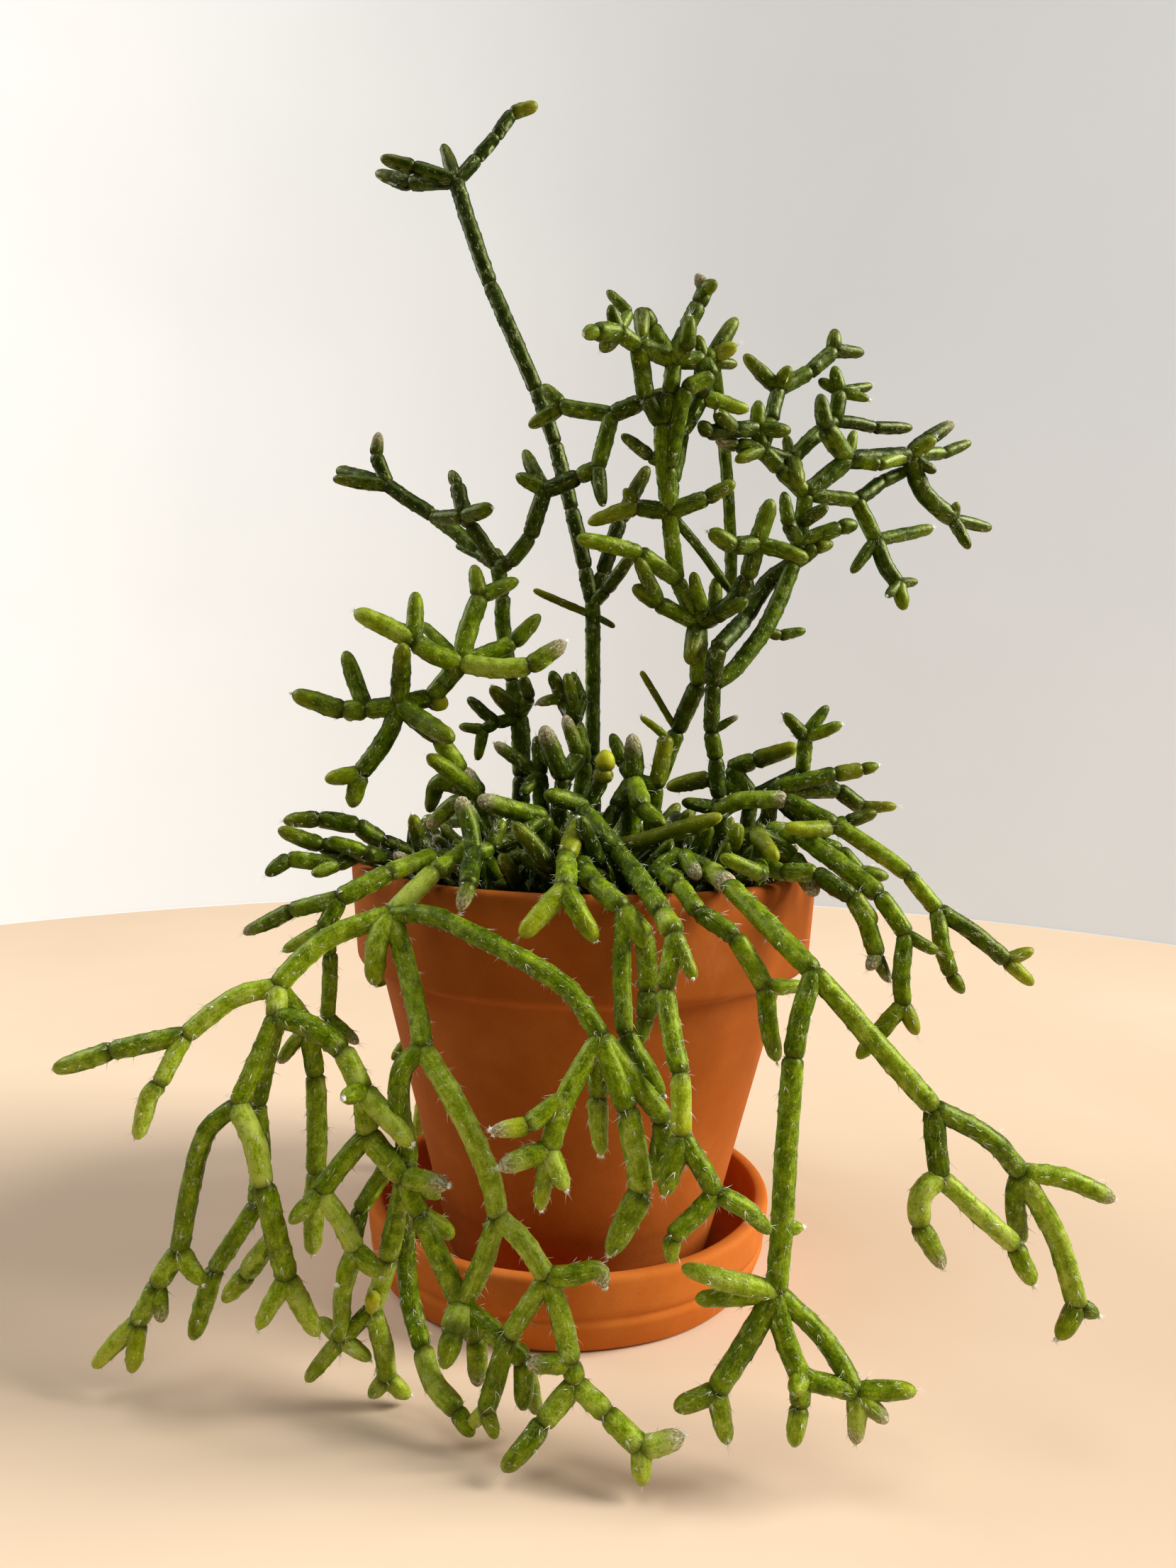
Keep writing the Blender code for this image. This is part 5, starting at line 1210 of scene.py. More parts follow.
def edge(tree, factor, low, high):
    # black at low to white at high
    return ramp(tree, factor, [(low, (0.0, 0.0, 0.0)), (high, (1.0, 1.0, 1.0))])


def objectPlace(tree):
    return wire(tree, 'TexCoord').outputs['Object']


def mapped(tree, where, scale, shift=0.0):
    return wire(tree, 'Mapping', {'Vector': where, 'Location': (shift, shift, shift),
                                  'Scale': scale}).outputs[0]


def noiseOf(tree, where, scale, detail=3.0, roughness=0.55, stretch=None, shift=0.0):
    if stretch:
        where = mapped(tree, where, stretch, shift)
    return wire(tree, 'TexNoise', {'Vector': where, 'Scale': scale, 'Detail': detail,
                                   'Roughness': roughness}).outputs[0]


def bumped(tree, height, strength, distance):
    return wire(tree, 'Bump', {'Height': height, 'Strength': strength, 'Distance': distance}).outputs[0]


# The skin's greens run from deep shade to full light.
skinColours = {
    'greens': [(0.0, (0.0055, 0.0145, 0.0003)), (0.28, (0.0285, 0.0560, 0.0005)),
               (0.55, (0.101, 0.162, 0.0010)), (0.8, (0.232, 0.322, 0.008)), (1.0, (0.395, 0.480, 0.070))],
    'young': (0.430, 0.430, 0.012, 1.0),
    'thread': (0.560, 0.600, 0.300, 1.0),
    'dash': (0.560, 0.580, 0.260, 1.0),
    'scar': (0.560, 0.600, 0.300, 1.0),
    'crease': (0.014, 0.018, 0.002, 1.0),
    'crusts': [(0.32, (0.110, 0.080, 0.035)), (0.48, (0.300, 0.235, 0.130)), (0.60, (0.680, 0.630, 0.480))],
    'sheen': (0.85, 1.00, 0.12, 1.0),
}
# Its patterns are in millimetres round and along the stem. Edges say where a pattern
# begins and where it is whole, swings how far the green varies, shares how much of a
# colour covers the green, and relief how high each pattern stands.
skinPattern = {
    'mottle': {'scale': 0.34, 'detail': 4.0},
    'fleck': {'scale': 1.9, 'roughness': 0.6},
    'streak': {'scale': 1.0, 'roughness': 0.6, 'stretch': (1.3, 1.3, 0.10)},
    'patch': {'scale': 0.22, 'detail': 2.0, 'roughness': 0.5, 'stretch': (1.0, 1.0, 1.0), 'shift': 31.0},
    'scar': {'scale': 0.13, 'detail': 5.0, 'roughness': 0.7, 'stretch': (1.0, 1.0, 0.7), 'shift': 77.0},
    'bark': {'scale': 1.4, 'detail': 4.0, 'roughness': 0.65},
    'swirl': {'scale': 0.5, 'reach': 2.2},
    'threadCells': (0.85, 0.85, 0.20),
    'dashCells': (0.95, 0.95, 0.17),
    'edges': {'thread': (0.008, 0.035), 'patch': (0.50, 0.64), 'dash': (0.10, 0.19), 'scar': (0.66, 0.74)},
    'swings': {'mottle': 1.05, 'fleck': 0.75, 'streak': 0.45},
    'shares': {'thread': 0.55, 'dash': 0.70, 'scar': 0.4, 'crease': 0.75},
    'young': {'least': 0.45, 'mottle': 0.6},
    'crusted': 0.6,
    'relief': {'fleck': 0.5, 'mottle': 0.8, 'dash': 0.8, 'thread': 0.35, 'crust': 1.5},
    'rough': {'least': 0.28, 'mottle': 0.2, 'crust': 0.4},
}


def stemSkin():
    material, tree, shader = newMaterial('stemSkin')
    where = wire(tree, 'Attribute', attribute_name='skinAt').outputs['Vector']
    tone = wire(tree, 'Attribute', attribute_name='skinTone')
    joint, shade, crust = wire(tree, 'SeparateColor', {0: tone.outputs['Color']}).outputs[:3]
    young = tone.outputs['Alpha']
    look, grain = skinPattern, {}
    for name in ('mottle', 'fleck', 'streak', 'patch', 'scar', 'bark'):
        grain[name] = noiseOf(tree, where, **look[name])
    swings = [centred(tree, grain[name], swing) for name, swing in look['swings'].items()]
    colour = ramp(tree, plus(tree, shade, *swings), skinColours['greens'])
    youth = plus(tree, look['young']['least'], times(tree, grain['mottle'], look['young']['mottle']))
    colour = tinted(tree, times(tree, young, youth, clamp=True), colour, skinColours['young'])
    # cells that run along the stem, bent to and fro
    swirl = wire(tree, 'TexNoise', {'Vector': where, 'Scale': look['swirl']['scale'],
                                    'Detail': 2.0}).outputs[1]
    swirl = wire(tree, 'VectorMath', {0: swirl, 'Scale': look['swirl']['reach']},
                 operation='SCALE').outputs[0]
    bent = wire(tree, 'VectorMath', {0: where, 1: swirl}, operation='ADD').outputs[0]
    lines = wire(tree, 'TexVoronoi', {'Vector': mapped(tree, bent, look['threadCells']), 'Scale': 1.0,
                                      'Randomness': 1.0}, feature='DISTANCE_TO_EDGE').outputs[0]
    spots = wire(tree, 'TexVoronoi', {'Vector': mapped(tree, bent, look['dashCells']), 'Scale': 1.0},
                 feature='F1').outputs['Distance']
    # pale papery threads in patches, short pale dashes, whitish scars and dark creases
    edges, over = look['edges'], {'crease': joint}
    patches = edge(tree, grain['patch'], *edges['patch'])
    over['thread'] = times(tree, inverse(tree, edge(tree, lines, *edges['thread'])), patches)
    over['dash'] = inverse(tree, edge(tree, spots, *edges['dash']))
    over['scar'] = edge(tree, grain['scar'], *edges['scar'])
    for name, share in look['shares'].items():
        colour = tinted(tree, times(tree, over[name], share), colour, skinColours[name])
    bark = ramp(tree, grain['bark'], skinColours['crusts'])
    rim = times(tree, crust, plus(tree, look['crusted'], grain['mottle']), clamp=True)
    raised = {**grain, **over, 'crust': times(tree, bark, rim)}
    rough = look['rough']
    plug(tree, shader, {
        'Base Color': tinted(tree, rim, colour, bark),
        'Roughness': plus(tree, rough['least'], times(tree, grain['mottle'], rough['mottle']),
                          times(tree, rim, rough['crust']), clamp=True),
        'Specular IOR Level': 0.42,
        'Specular Tint': skinColours['sheen'],
        'Subsurface Weight': 0.10,
        'Subsurface Radius': (0.8, 1.0, 0.15),
        'Subsurface Scale': 1.0 * mm,
        'Normal': bumped(tree, weighed(tree, raised, look['relief']), 0.55, 0.35 * mm),
    })
    return material


def bristleHair():
    material, tree, shader = newMaterial('bristleHair')
    tint = noiseOf(tree, objectPlace(tree), 420.0, 2.0)
    plug(tree, shader, {
        'Base Color': ramp(tree, tint, [(0.3, (0.72, 0.70, 0.56)), (0.6, (0.94, 0.93, 0.86))]),
        'Roughness': 0.5,
        'Subsurface Weight': 0.2,
        'Subsurface Scale': 0.5 * mm,
    })
    return material


# The pot's clay is darker than the saucer's: partly damp clay, partly painted shade where the foliage over
# the pot shades it.
clayColours = {
    'terracotta': [(0.30, (0.320, 0.072, 0.006)), (0.5, (0.390, 0.097, 0.012)),
                   (0.72, (0.480, 0.138, 0.024))],
    'saucerClay': [(0.30, (0.420, 0.095, 0.008)), (0.5, (0.500, 0.130, 0.016)),
                   (0.72, (0.600, 0.180, 0.032))],
    'bloom': (0.640, 0.280, 0.130, 1.0),
    'stain': (0.110, 0.026, 0.004, 1.0),
    'sheen': (1.0, 0.55, 0.30, 1.0),
}
clayPattern = {
    'broad': {'scale': 22.0, 'detail': 4.0, 'roughness': 0.6},
    'medium': {'scale': 130.0, 'detail': 4.0, 'roughness': 0.6},
    'grain': {'scale': 1500.0, 'detail': 2.0, 'roughness': 0.6},
    'streak': {'scale': 60.0, 'roughness': 0.5, 'stretch': (1.0, 1.0, 0.10)},
    'bloom': {'scale': 34.0, 'detail': 5.0, 'roughness': 0.7, 'stretch': (1.0, 1.0, 0.6), 'shift': 0.21},
    'stain': {'scale': 48.0, 'detail': 6.0, 'roughness': 0.75, 'stretch': (1.0, 1.0, 1.5), 'shift': 0.67},
    'edges': {'bloom': (0.58, 0.76), 'stain': (0.64, 0.74), 'damp': (0.70, 0.95)},
    'shares': {'bloom': 0.22, 'stain': 0.35, 'damp': 0.22},
    'level': {'broad': 0.55, 'medium': 0.25, 'grain': 0.12, 'streak': 0.12},
    'relief': {'grain': 0.5, 'medium': 0.6, 'rings': 0.16},
    'dampPerMetre': 7.0,
    'rough': (0.66, 0.25),
}


def clay(name):
    material, tree, shader = newMaterial(name)
    where = objectPlace(tree)
    look, grain = clayPattern, {}
    for kind in ('broad', 'medium', 'grain', 'streak', 'bloom', 'stain'):
        grain[kind] = noiseOf(tree, where, **look[kind])
    colour = ramp(tree, weighed(tree, grain, look['level']), clayColours[name])
    for kind in ('bloom', 'stain'):
        cover = times(tree, edge(tree, grain[kind], *look['edges'][kind]), look['shares'][kind])
        colour = tinted(tree, cover, colour, clayColours[kind])
    if name == 'terracotta':
        # the rim is darker where it is damp
        height = wire(tree, 'SeparateXYZ', {0: where}).outputs[2]
        damp = edge(tree, times(tree, height, look['dampPerMetre']), *look['edges']['damp'])
        cover = times(tree, times(tree, damp, grain['broad']), look['shares']['damp'])
        colour = tinted(tree, cover, colour, clayColours['stain'])
    grain['rings'] = wire(tree, 'TexWave', {'Vector': where, 'Scale': 55.0, 'Distortion': 1.5, 'Detail': 2.0},
                          wave_type='BANDS', bands_direction='Z').outputs['Fac']
    least, more = look['rough']
    plug(tree, shader, {
        'Base Color': colour,
        'Roughness': plus(tree, least, times(tree, grain['medium'], more), clamp=True),
        'Specular IOR Level': 0.2,
        'Specular Tint': clayColours['sheen'],
        'Normal': bumped(tree, weighed(tree, grain, look['relief']), 0.35, 0.3 * mm),
    })
    return material


def earth():
    material, tree, shader = newMaterial('pottingEarth')
    clod = noiseOf(tree, objectPlace(tree), 260.0, 5.0, 0.65)
    plug(tree, shader, {
        'Base Color': ramp(tree, clod, [(0.3, (0.008, 0.006, 0.004)), (0.6, (0.030, 0.020, 0.013)),
                                        (0.8, (0.090, 0.062, 0.040))]),
        'Roughness': 0.95,
        'Normal': bumped(tree, clod, 0.9, 1.2 * mm),
    })
    return material


def stageSurface(name, low, high, glow):
    material, tree, shader = newMaterial(name)
    plug(tree, shader, {
        'Base Color': ramp(tree, noiseOf(tree, objectPlace(tree), 2.5, 4.0), [(0.35, low), (0.65, high)]),
        'Roughness': 0.8,
        'Specular IOR Level': 0.1,
        'Emission Color': (1.0, 0.99, 0.96, 1.0),
        'Emission Strength': glow,
    })
    return material


# The plant's stems
# How bright each group's green is, how many of its bristles grow and how long they are.
groups = {
    'tall_stem': {'tone': 0.10, 'bristles': 0.10, 'long': 0.7},
    'left_upright': {'tone': 0.24, 'bristles': 0.20, 'long': 0.7},
    'middle_upright': {'tone': 0.37, 'bristles': 0.28, 'long': 0.8},
    'right_upright': {'tone': 0.28, 'bristles': 0.25, 'long': 0.8},
    'left_arm': {'tone': 0.47, 'bristles': 0.30, 'long': 0.8},
    'crown_back': {'tone': 0.31, 'bristles': 0.4, 'long': 0.9},
    'crown': {'tone': 0.33, 'bristles': 0.55, 'long': 1.0},
    'trail_back': {'tone': 0.54, 'bristles': 0.6, 'long': 1.0},
    # trail_left is lighter than the other trails: painted light, as this trail hangs in shade on the left
    'trail_left': {'tone': 0.72, 'bristles': 0.78, 'long': 1.1},
    'trail': {'tone': 0.62, 'bristles': 0.78, 'long': 1.1},
    'right': {'tone': 0.52, 'bristles': 0.6, 'long': 1.0},
}


def groupOf(node):
    return groups[next(start for start in groups if node.startswith(start))]


def growSkins(plan, points, skin):
    segments = {node: segmentsOf(plan, points, node) for node in plan['chains']}
    markSegments([segment for found in segments.values() for segment in found])
    for number, (node, found) in enumerate(segments.items()):
        draw = np.random.default_rng(skinLook['seed'] + number)
        growth = newGrowth()
        for segment in found:
            growSegment(growth, segment, groupOf(node)['tone'], draw)
        first, *others = node.split('_')
        name = first + ''.join(word.capitalize() for word in others)
        finishPiece(growth['bm'], name + 'Skin', skin, [node])
    return segments


# Short stems that only fill the crown between the others. Leans are in degrees from
# upright, and a stem has one segment and, by chance, more.
filler = {
    'tries': 9000,
    'most': 185,
    'reach': 66.0,
    'reachDrawn': (0.002, 1),
    'sunk': 1.5,
    'lean': (8, 66),
    'leanVaries': 14,
    'heading': 0.6,
    'headingTurns': 0.5,
    'more': (0.8, 0.4),
    'turn': (-12, 40),
    'leanMost': 1.8,
    'long': (9.0, 18.0),
    'radius': (1.9, 2.5),
    'highest': 151.0,
    'widest': 94.0,
    'room': 0.84,
    'rimGap': 1.0,
    'sampleStep': 1.6,
    'others': {'within': 110.0, 'above': 112.0},
    # darker is painted shade: the fillers stand deep in the crown, so their green is made that much darker
    'darker': 0.08,
    'seed': 5,
}


def samplesOf(places):
    # places at short steps along a chain
    found = []
    for a, b in zip(places, places[1:]):
        share = np.linspace(0, 1, max(3, int(np.linalg.norm(b - a) / filler['sampleStep'])))[:, None]
        found.append(a * (1 - share) + b * share)
    return np.concatenate(found)


def fillerChain(draw):
    # a root in the soil and one to three segments that lean out from the middle
    turn, reach = draw.uniform(0, math.tau), filler['reach'] * math.sqrt(draw.uniform(*filler['reachDrawn']))
    low, high = filler['lean']
    lean = math.radians(low + (high - low) * reach / filler['reach'] + draw.normal() * filler['leanVaries'])
    heading = turn + draw.normal() * filler['heading']
    place = np.array([reach * math.cos(turn), reach * math.sin(turn), soilShape['top'] - filler['sunk']])
    places = [place]
    for number in range(1 + sum(draw.random() < chance for chance in filler['more'])):
        way = (math.sin(lean) * math.cos(heading), math.sin(lean) * math.sin(heading), math.cos(lean))
        place = place + np.array(way) * draw.uniform(*filler['long'])
        places.append(place)
        lean = min(lean + math.radians(draw.uniform(*filler['turn'])), filler['leanMost'])
        heading += draw.normal() * filler['headingTurns']
    return places


def fillerSegments(places, radius):
    last = len(places) - 2
    return [{'places': np.array(pair), 'radius': radius, 'marks': {},
             'kinds': ['joint' if number else 'root', 'joint' if number < last else 'tip']}
            for number, pair in enumerate(zip(places, places[1:]))]


def treeOf(spots):
    tree = KDTree(len(spots))
    for number, spot in enumerate(spots):
        tree.insert(spot, number)
    tree.balance()
    return tree


def inTheWay(line, radius):
    # whether a chain meets the rim, or stands out of the crown
    across = np.hypot(line[:, 0], line[:, 1])
    wall = potShape['rimRadius'] - potShape['rimWall'] - radius - filler['rimGap']
    inRim = (across > wall) & (line[:, 2] < potShape['rimTop'] + radius)
    return inRim.any() or line[:, 2].max() > filler['highest'] or across.max() > filler['widest']


def growFillers(segments, skin):
    draw = np.random.default_rng(filler['seed'])
    spots, widths, made = [], [], []
    others = filler['others']
    for segment in (segment for found in segments.values() for segment in found):
        places = segment['places']
        if np.hypot(*places.mean(axis=0)[:2]) < others['within'] and places[:, 2].max() > others['above']:
            line = samplesOf(places)
            spots += list(line)
            widths += [segment['radius']] * len(line)
    tree, planted = treeOf(spots), 0
    for attempt in range(filler['tries']):
        radius = draw.uniform(*filler['radius'])
        places = fillerChain(draw)
        line = samplesOf(places)
        if inTheWay(line, radius):
            continue
        nearest = (tree.find(spot) for spot in line)
        if any(gap < (radius + widths[number]) * filler['room'] for place, number, gap in nearest):
            continue
        spots += list(line)
        widths += [radius] * len(line)
        tree = treeOf(spots)
        made += fillerSegments(places, radius)
        planted += 1
        if planted == filler['most']:
            break
    growth = newGrowth()
    for segment in made:
        # the fillers' green, darkened as painted shade of the crown's depths
        growSegment(growth, segment, groups['crown']['tone'] - filler['darker'], draw)
    print(f'crown fillers: {planted} stems, {len(made)} segments after {attempt + 1} tries')
    finishPiece(growth['bm'], 'crownFillerSkin', skin)
    segments['crown_filler'] = made


# Tufts of thin bristles: how many hairs, how long in mm, how far they lean out in
# degrees, and their half thickness.
tufts = {
    'pair': {'hairs': 2, 'long': (1.2, 3.0), 'lean': (4, 32), 'thick': 0.09},
    'spray': {'hairs': 4, 'long': (1.2, 3.2), 'lean': (10, 65), 'thick': 0.08},
    'wool': {'hairs': 14, 'long': (0.7, 1.7), 'lean': (5, 80), 'thick': 0.13, 'knob': 0.75},
    'whisker': {'hairs': 5, 'long': (2.5, 5.0), 'lean': (5, 35), 'thick': 0.065},
}
bristleGroups = {
    'bristlesUprights': ('tall', 'left', 'middle', 'right_upright'),
    'bristlesLeft': ('trail_left',),
    'bristlesFront': ('trail_f', 'trail_right', 'right'),
    'bristlesCrown': ('crown',),
    'bristlesBack': ('trail_back',),
}
# How tufts are set: chances beside those of their group, ranges of sizes and of how far
# a tuft leans outward or along its stem, how far it is sunk in, and how much that varies.
bristleLook = {
    'kinds': 6,
    'hairSunk': 0.15,
    'hairTurns': (-0.3, 0.3),
    'knobSizes': (0.6, 1.15),
    'areole': {'sprays': 0.22, 'aside': 0.35, 'outward': (0.08, 0.6), 'along': (0.5, 1.0),
               'sizes': (0.6, 1.1)},
    'wool': {'chance': 0.6, 'most': 3, 'aside': 0.35, 'apart': 0.8, 'sunk': 0.3, 'sizes': (0.8, 1.1)},
    'whisker': {'chance': 0.5, 'sunk': 0.4, 'sizes': (0.5, 0.9)},
    'joint': {'sunk': 0.35, 'outward': 0.72, 'along': (-0.5, 0.5), 'sizes': (0.6, 1.0)},
    'seed': 217,
}


def tuftMesh(name, draw):
    shape = tufts[name]
    bm = bmesh.new()
    for hair in range(shape['hairs']):
        length = draw.uniform(*shape['long'])
        made = bmesh.ops.create_cone(bm, cap_ends=True, segments=3, radius1=shape['thick'], radius2=0.0,
                                     depth=length)
        bmesh.ops.translate(bm, vec=(0, 0, length / 2 - bristleLook['hairSunk']), verts=made['verts'])
        lean = Matrix.Rotation(math.radians(draw.uniform(*shape['lean'])), 3, 'X')
        share = (hair + draw.uniform(*bristleLook['hairTurns'])) / shape['hairs']
        turn = Matrix.Rotation(math.tau * share, 3, 'Z')
        bmesh.ops.rotate(bm, matrix=turn @ lean, verts=made['verts'])
    if 'knob' in shape:
        knob = bmesh.ops.create_icosphere(bm, subdivisions=1, radius=shape['knob'])['verts']
        for vert in knob:
            vert.co *= draw.uniform(*bristleLook['knobSizes'])
    bmesh.ops.recalc_face_normals(bm, faces=bm.faces)
    return meshFrom(bm, name)


def plantTuft(bm, mesh, place, facing, size, draw):
    upright = Vector(facing).normalized().to_track_quat('Z', 'Y').to_matrix()
    turn = upright @ Matrix.Rotation(draw.uniform(0, math.tau), 3, 'Z')
    stamp(bm, mesh, Matrix.Translation(Vector(place) * mm) @ (turn * size * mm).to_4x4())


def pickTuft(meshes, name, draw):
    return meshes[name][draw.integers(0, bristleLook['kinds'])]


def plantAreoles(bm, segment, group, meshes, draw):
    look = bristleLook['areole']
    for place, outward, facing in segment['areoles']:
        if draw.random() < group['bristles']:
            aside = np.cross(outward, facing) * draw.normal() * look['aside']
            lean = outward * draw.uniform(*look['outward']) + facing * draw.uniform(*look['along']) + aside
            name = 'spray' if draw.random() < look['sprays'] else 'pair'
            mesh = pickTuft(meshes, name, draw)
            plantTuft(bm, mesh, place, lean, group['long'] * draw.uniform(*look['sizes']), draw)


def plantTip(bm, segment, end, share, meshes, draw):
    # wool on some tips, and on every one that is marked, and long whiskers
    spot, facing = segment['tips'][end]
    woolly = 'wool' in segment['marks']
    look = bristleLook['wool']
    if woolly or draw.random() < share * look['chance']:
        for tuft in range(look['most'] if woolly else 1):
            sway = draw.normal(size=3) * look['aside']
            at = spot - facing * look['sunk'] + sway * look['apart']
            mesh = pickTuft(meshes, 'wool', draw)
            plantTuft(bm, mesh, at, facing + sway, draw.uniform(*look['sizes']), draw)
    look = bristleLook['whisker']
    if draw.random() < share * look['chance']:
        at = spot - facing * look['sunk']
        mesh = pickTuft(meshes, 'whisker', draw)
        plantTuft(bm, mesh, at, facing, draw.uniform(*look['sizes']), draw)


def plantJoint(bm, segment, end, meshes, draw):
    # a tuft to one side of the joint
    spot, facing = segment['tips'][end]
    look, radius = bristleLook['joint'], segment['fullRadius']
    out = np.cross(facing, draw.normal(size=3))
    out /= max(np.linalg.norm(out), tiny)
    at = spot - facing * look['sunk'] * radius + out * look['outward'] * radius
    name = 'wool' if segment['marks'].get('wool') == end else 'spray'
    mesh = pickTuft(meshes, name, draw)
    plantTuft(bm, mesh, at, out + facing * draw.uniform(*look['along']), draw.uniform(*look['sizes']), draw)


def growBristles(segments, hair):
    draw = np.random.default_rng(bristleLook['seed'])
    meshes = {name: [tuftMesh(name, draw) for kind in range(bristleLook['kinds'])] for name in tufts}
    left = dict(segments)
    for name, starts in bristleGroups.items():
        bm = bmesh.new()
        for node in [node for node in left if node.startswith(starts)]:
            group = groupOf(node)
            for segment in left.pop(node):
                plantAreoles(bm, segment, group, meshes, draw)
                for end, kind in enumerate(segment['kinds']):
                    if kind == 'tip':
                        plantTip(bm, segment, end, group['bristles'], meshes, draw)
                    elif kind == 'joint' and draw.random() < group['bristles']:
                        plantJoint(bm, segment, end, meshes, draw)
        print(f'{name}: {len(bm.faces)} faces')
        finishPiece(bm, name, hair)


# The pot, the saucer and the soil
# Corners of their outlines are (distance from the axis, height).
latheLook = {'easeCuts': 4, 'wobbleFrom': 20.0, 'wobblesPerMetre': 34.0, 'smooth': 38}


def spun(profile, steps, closed=False):
    # turns an outline round +Z
    bm = bmesh.new()
    corners = [bm.verts.new((x * mm, 0, z * mm)) for x, z in profile]
    ring = corners + corners[:1] if closed else corners
    edges = [bm.edges.new(pair) for pair in zip(ring, ring[1:])]
    bmesh.ops.spin(bm, geom=corners + edges, cent=(0, 0, 0), axis=(0, 0, 1), angle=math.tau, steps=steps,
                   use_merge=True)
    bmesh.ops.remove_doubles(bm, verts=bm.verts, dist=weldWidth * mm)
    bmesh.ops.recalc_face_normals(bm, faces=bm.faces)
    return bm


def wobbled(bm, wobble):
    # thrown by hand: not quite round
    for vert in bm.verts:
        flat = Vector((vert.co.x, vert.co.y, 0.0))
        if flat.length > latheLook['wobbleFrom'] * mm:
            vert.co += flat.normalized() * noise.noise(vert.co * latheLook['wobblesPerMetre']) * wobble * mm


def rounded(corners, eases):
    # each corner that has an ease becomes a short arc, begun and ended that far from it
    made, corners = [], np.array(corners, dtype=float)
    for number, (here, ease) in enumerate(zip(corners, eases)):
        if not ease:
            made.append(here)
            continue
        before = corners[number - 1] - here
        after = corners[(number + 1) % len(corners)] - here
        start = here + before / np.linalg.norm(before) * ease
        stop = here + after / np.linalg.norm(after) * ease
        for t in np.linspace(0, 1, latheLook['easeCuts'] + 1):
            made.append(start * (1 - t) ** 2 + here * 2 * t * (1 - t) + stop * t ** 2)
    return made


def makePot(material):
    shape = potShape
    inner = shape['rimRadius'] - shape['rimWall']
    slope = (shape['neckRadius'] - shape['baseRadius']) / (shape['neckHeight'] - shape['base'])
    floorTop = shape['base'] + shape['floor']
    floorRadius = shape['baseRadius'] + slope * shape['floor'] - shape['wall']
    neckIn, neckUp = shape['neckCorner']
    bandIn, bandDown = shape['bandCorner']
    stepIn, stepUp = shape['innerStep']
    corners = [(shape['drain'], shape['base']), (shape['baseRadius'], shape['base']), shape['belly'],
               (shape['neckRadius'] - neckIn, shape['neckHeight'] + neckUp),
               (shape['bandFootRadius'] - bandIn, shape['bandFoot'] - bandDown),
               (shape['rimRadius'], shape['rimTop']), (inner, shape['rimTop'] - shape['rimSlope']),
               (inner - stepIn, shape['neckHeight'] + stepUp),
               (shape['neckRadius'] - shape['wall'], shape['neckHeight'] - shape['stepDrop']),
               (floorRadius, floorTop), (shape['drain'], floorTop)]
    bm = spun(rounded(corners, shape['eases']), shape['steps'], closed=True)
    wobbled(bm, shape['wobble'])
    finishPiece(bm, 'clayPot', material, ['pot'], latheLook['smooth'])


def makeSaucer(material):
    shape = saucerShape
    outer, inner, groove = shape['radius'], shape['radius'] - shape['wall'], shape['groove']
    lowIn, lowDown = shape['grooveLow']
    highIn, highUp = shape['grooveHigh']
    corners = [(0, 0), (shape['footRadius'], 0), (outer - lowIn, groove - lowDown),
               (outer - shape['grooveDeep'], groove), (outer - highIn, groove + highUp),
               (outer, shape['top']), (inner, shape['top'] - shape['rimSlope']),
               (inner - shape['floorCorner'], shape['floor']), (0, shape['floor'])]
    bm = spun(rounded(corners, shape['eases']), shape['steps'])
    wobbled(bm, shape['wobble'])
    bmesh.ops.translate(bm, vec=(shape['x'] * mm, 0, 0), verts=bm.verts)
    finishPiece(bm, 'claySaucer', material, ['saucer'], latheLook['smooth'])


def crumble(bm, inner):
    # crumbs strewn over the soil
    shape = soilShape
    draw = np.random.default_rng(shape['seed'])
    ball = bmesh.new()
    bmesh.ops.create_icosphere(ball, subdivisions=1, radius=mm)
    crumbMesh = meshFrom(ball, 'crumb')
    for crumb in range(shape['crumbs']):
        turn, reach = draw.uniform(0, math.tau), inner * math.sqrt(draw.random()) * shape['crumbReach']
        height = shape['top'] + draw.uniform(*shape['crumbRise'])
        place = Vector((reach * math.cos(turn), reach * math.sin(turn), height)) * mm
        form = Vector(draw.uniform(*shape['crumbForm'], 3) * draw.uniform(*shape['crumbSize']))
        stamp(bm, crumbMesh, Matrix.LocRotScale(place, None, form))


def makeSoil(material):
    shape = soilShape
    inner = potShape['rimRadius'] - potShape['rimWall'] - shape['edge']
    profile = [(0, shape['foot'][1]), shape['foot'], shape['neck'],
               (inner - shape['bandSlope'], shape['bandHeight']), (inner, shape['top'] - shape['edgeDrop'])]
    shares = np.linspace(shape['firstRing'], 1, shape['rings'])
    profile += [(inner * (1 - share), shape['top']) for share in shares]
    bm = spun(profile, shape['steps'])
    for vert in bm.verts:
        if vert.co.z > (shape['top'] - shape['topWithin']) * mm:
            lump = noise.fractal(vert.co * shape['lumpsPerMetre'], *shape['lumpForm'])
            vert.co.z += lump * shape['lump'] * mm
    crumble(bm, inner)
    finishPiece(bm, 'soilFill', material, ['soil'], shape['smooth'])


# The stage, the lights and the camera
stageShape = {
    'floor': 699.0,
    'side': 700.0,
    'bend': 1.0,
    'bendSteps': 7,
    'high': 1700.0,
    'drop': 0.3,
    'steps': 96,
}
stageColours = {
    'paleFloor': {'low': (0.68, 0.520, 0.365), 'high': (0.74, 0.580, 0.420), 'glow': 0.0},
    'paleWall': {'low': (0.435, 0.435, 0.43), 'high': (0.475, 0.475, 0.47), 'glow': 0.365},
}


def turnedStage(name, profile, material):
    # it is seen from inside, so that is where its faces look
    bm = spun([(x, z - stageShape['drop']) for x, z in profile], stageShape['steps'])
    bmesh.ops.reverse_faces(bm, faces=bm.faces)
    data = meshFrom(bm, name)
    data.shade_smooth()
    data.materials.append(stageSurface(material, **stageColours[material]))
    stage = placed(name, data)
    stage.visible_shadow = False
    return stage


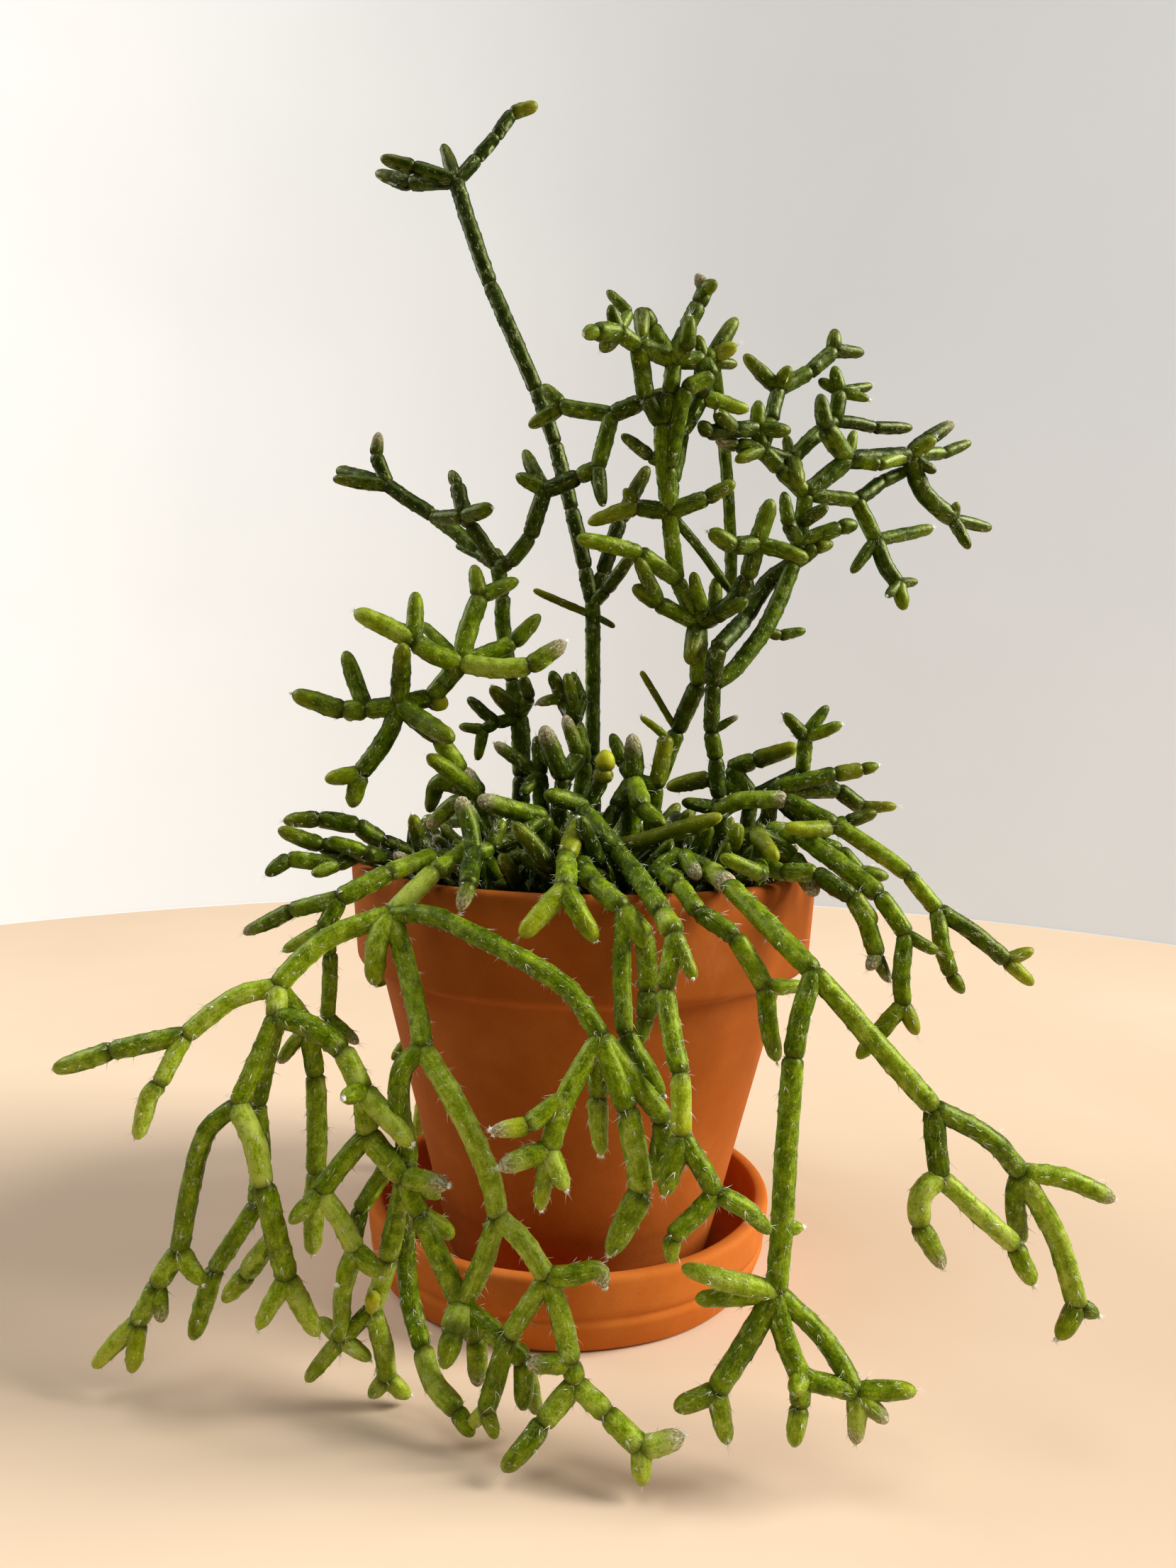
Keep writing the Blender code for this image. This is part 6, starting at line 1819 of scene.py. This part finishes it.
def makeStage():
    # round, so that every view has the same behind the plant
    floor, side, bend = stageShape['floor'], stageShape['side'], stageShape['bend']
    turns = np.linspace(-math.pi / 2, 0, stageShape['bendSteps'])
    curve = [(side - bend + bend * math.cos(turn), bend + bend * math.sin(turn)) for turn in turns]
    turnedStage('studioFloor', [(0, 0), (floor / 2, 0), (floor, 0)], 'paleFloor')
    around = turnedStage('studioWall', [(floor, 0)] + curve + [(side, stageShape['high'])], 'paleWall')
    around.visible_diffuse = around.visible_glossy = False


# Where each light is and how wide, in metres, and its power in watts.
lights = {
    'key': {'at': (5.60, -0.40, 3.80), 'size': 3.4, 'power': 740.0, 'colour': (1.0, 0.97, 0.92)},
    'fill': {'at': (-2.3, 0.5, 1.7), 'size': 1.6, 'power': 38.0, 'colour': (0.97, 0.98, 1.0)},
    'top': {'at': (-0.3, -0.5, 2.6), 'size': 1.4, 'power': 16.0, 'colour': (1.0, 1.0, 1.0)},
}
lightsAim = (0.0, 0.0, 0.15)
surround = {'Color': (1.0, 0.99, 0.97, 1.0), 'Strength': 0.13}    # the light from all round


def makeLights():
    for name, light in lights.items():
        data = bpy.data.lights.new(name, 'AREA')
        data.shape = 'DISK'
        data.size = light['size']
        data.energy = light['power']
        data.color = light['colour']
        lamp = placed(name, data)
        lamp.location = light['at']
        lamp.rotation_euler = (Vector(lightsAim) - Vector(light['at'])).to_track_quat('-Z', 'Y').to_euler()
    world = bpy.data.worlds.new('paleSurround')
    world.use_nodes = True
    plug(world.node_tree, world.node_tree.nodes['Background'], surround)
    bpy.context.scene.world = world
    bpy.context.scene.view_settings.view_transform = 'Standard'


def makeCamera():
    right, up, forward = viewAxes()
    data = bpy.data.cameras.new('viewer')
    data.sensor_width = viewer['sensor']
    data.lens = viewer['reach'] / viewer['tall'] * viewer['sensor']
    camera = placed('viewer', data)
    turn = Matrix((right, up, -forward)).transposed().to_4x4()
    camera.matrix_world = Matrix.Translation(Vector(viewer['eye']) * mm) @ turn
    bpy.context.scene.camera = camera


plan = {'points': [], 'fixed': [], 'bends': [], 'links': [], 'chains': {}}
for stem, runs in allStems().items():
    addStem(plan, stem, runs)
points = spreadApart(plan)
print(f'stems laid out: {len(plan["chains"])}')
skin = stemSkin()
segments = growSkins(plan, points, skin)
growFillers(segments, skin)
print(f'stem skins grown: {sum(len(found) for found in segments.values())} segments')
growBristles(segments, bristleHair())
print('bristles planted')
makePot(clay('terracotta'))
makeSaucer(clay('saucerClay'))
makeSoil(earth())
print('pot, saucer and soil made')
makeStage()
makeLights()
makeCamera()
print('stage, lights and camera ready')
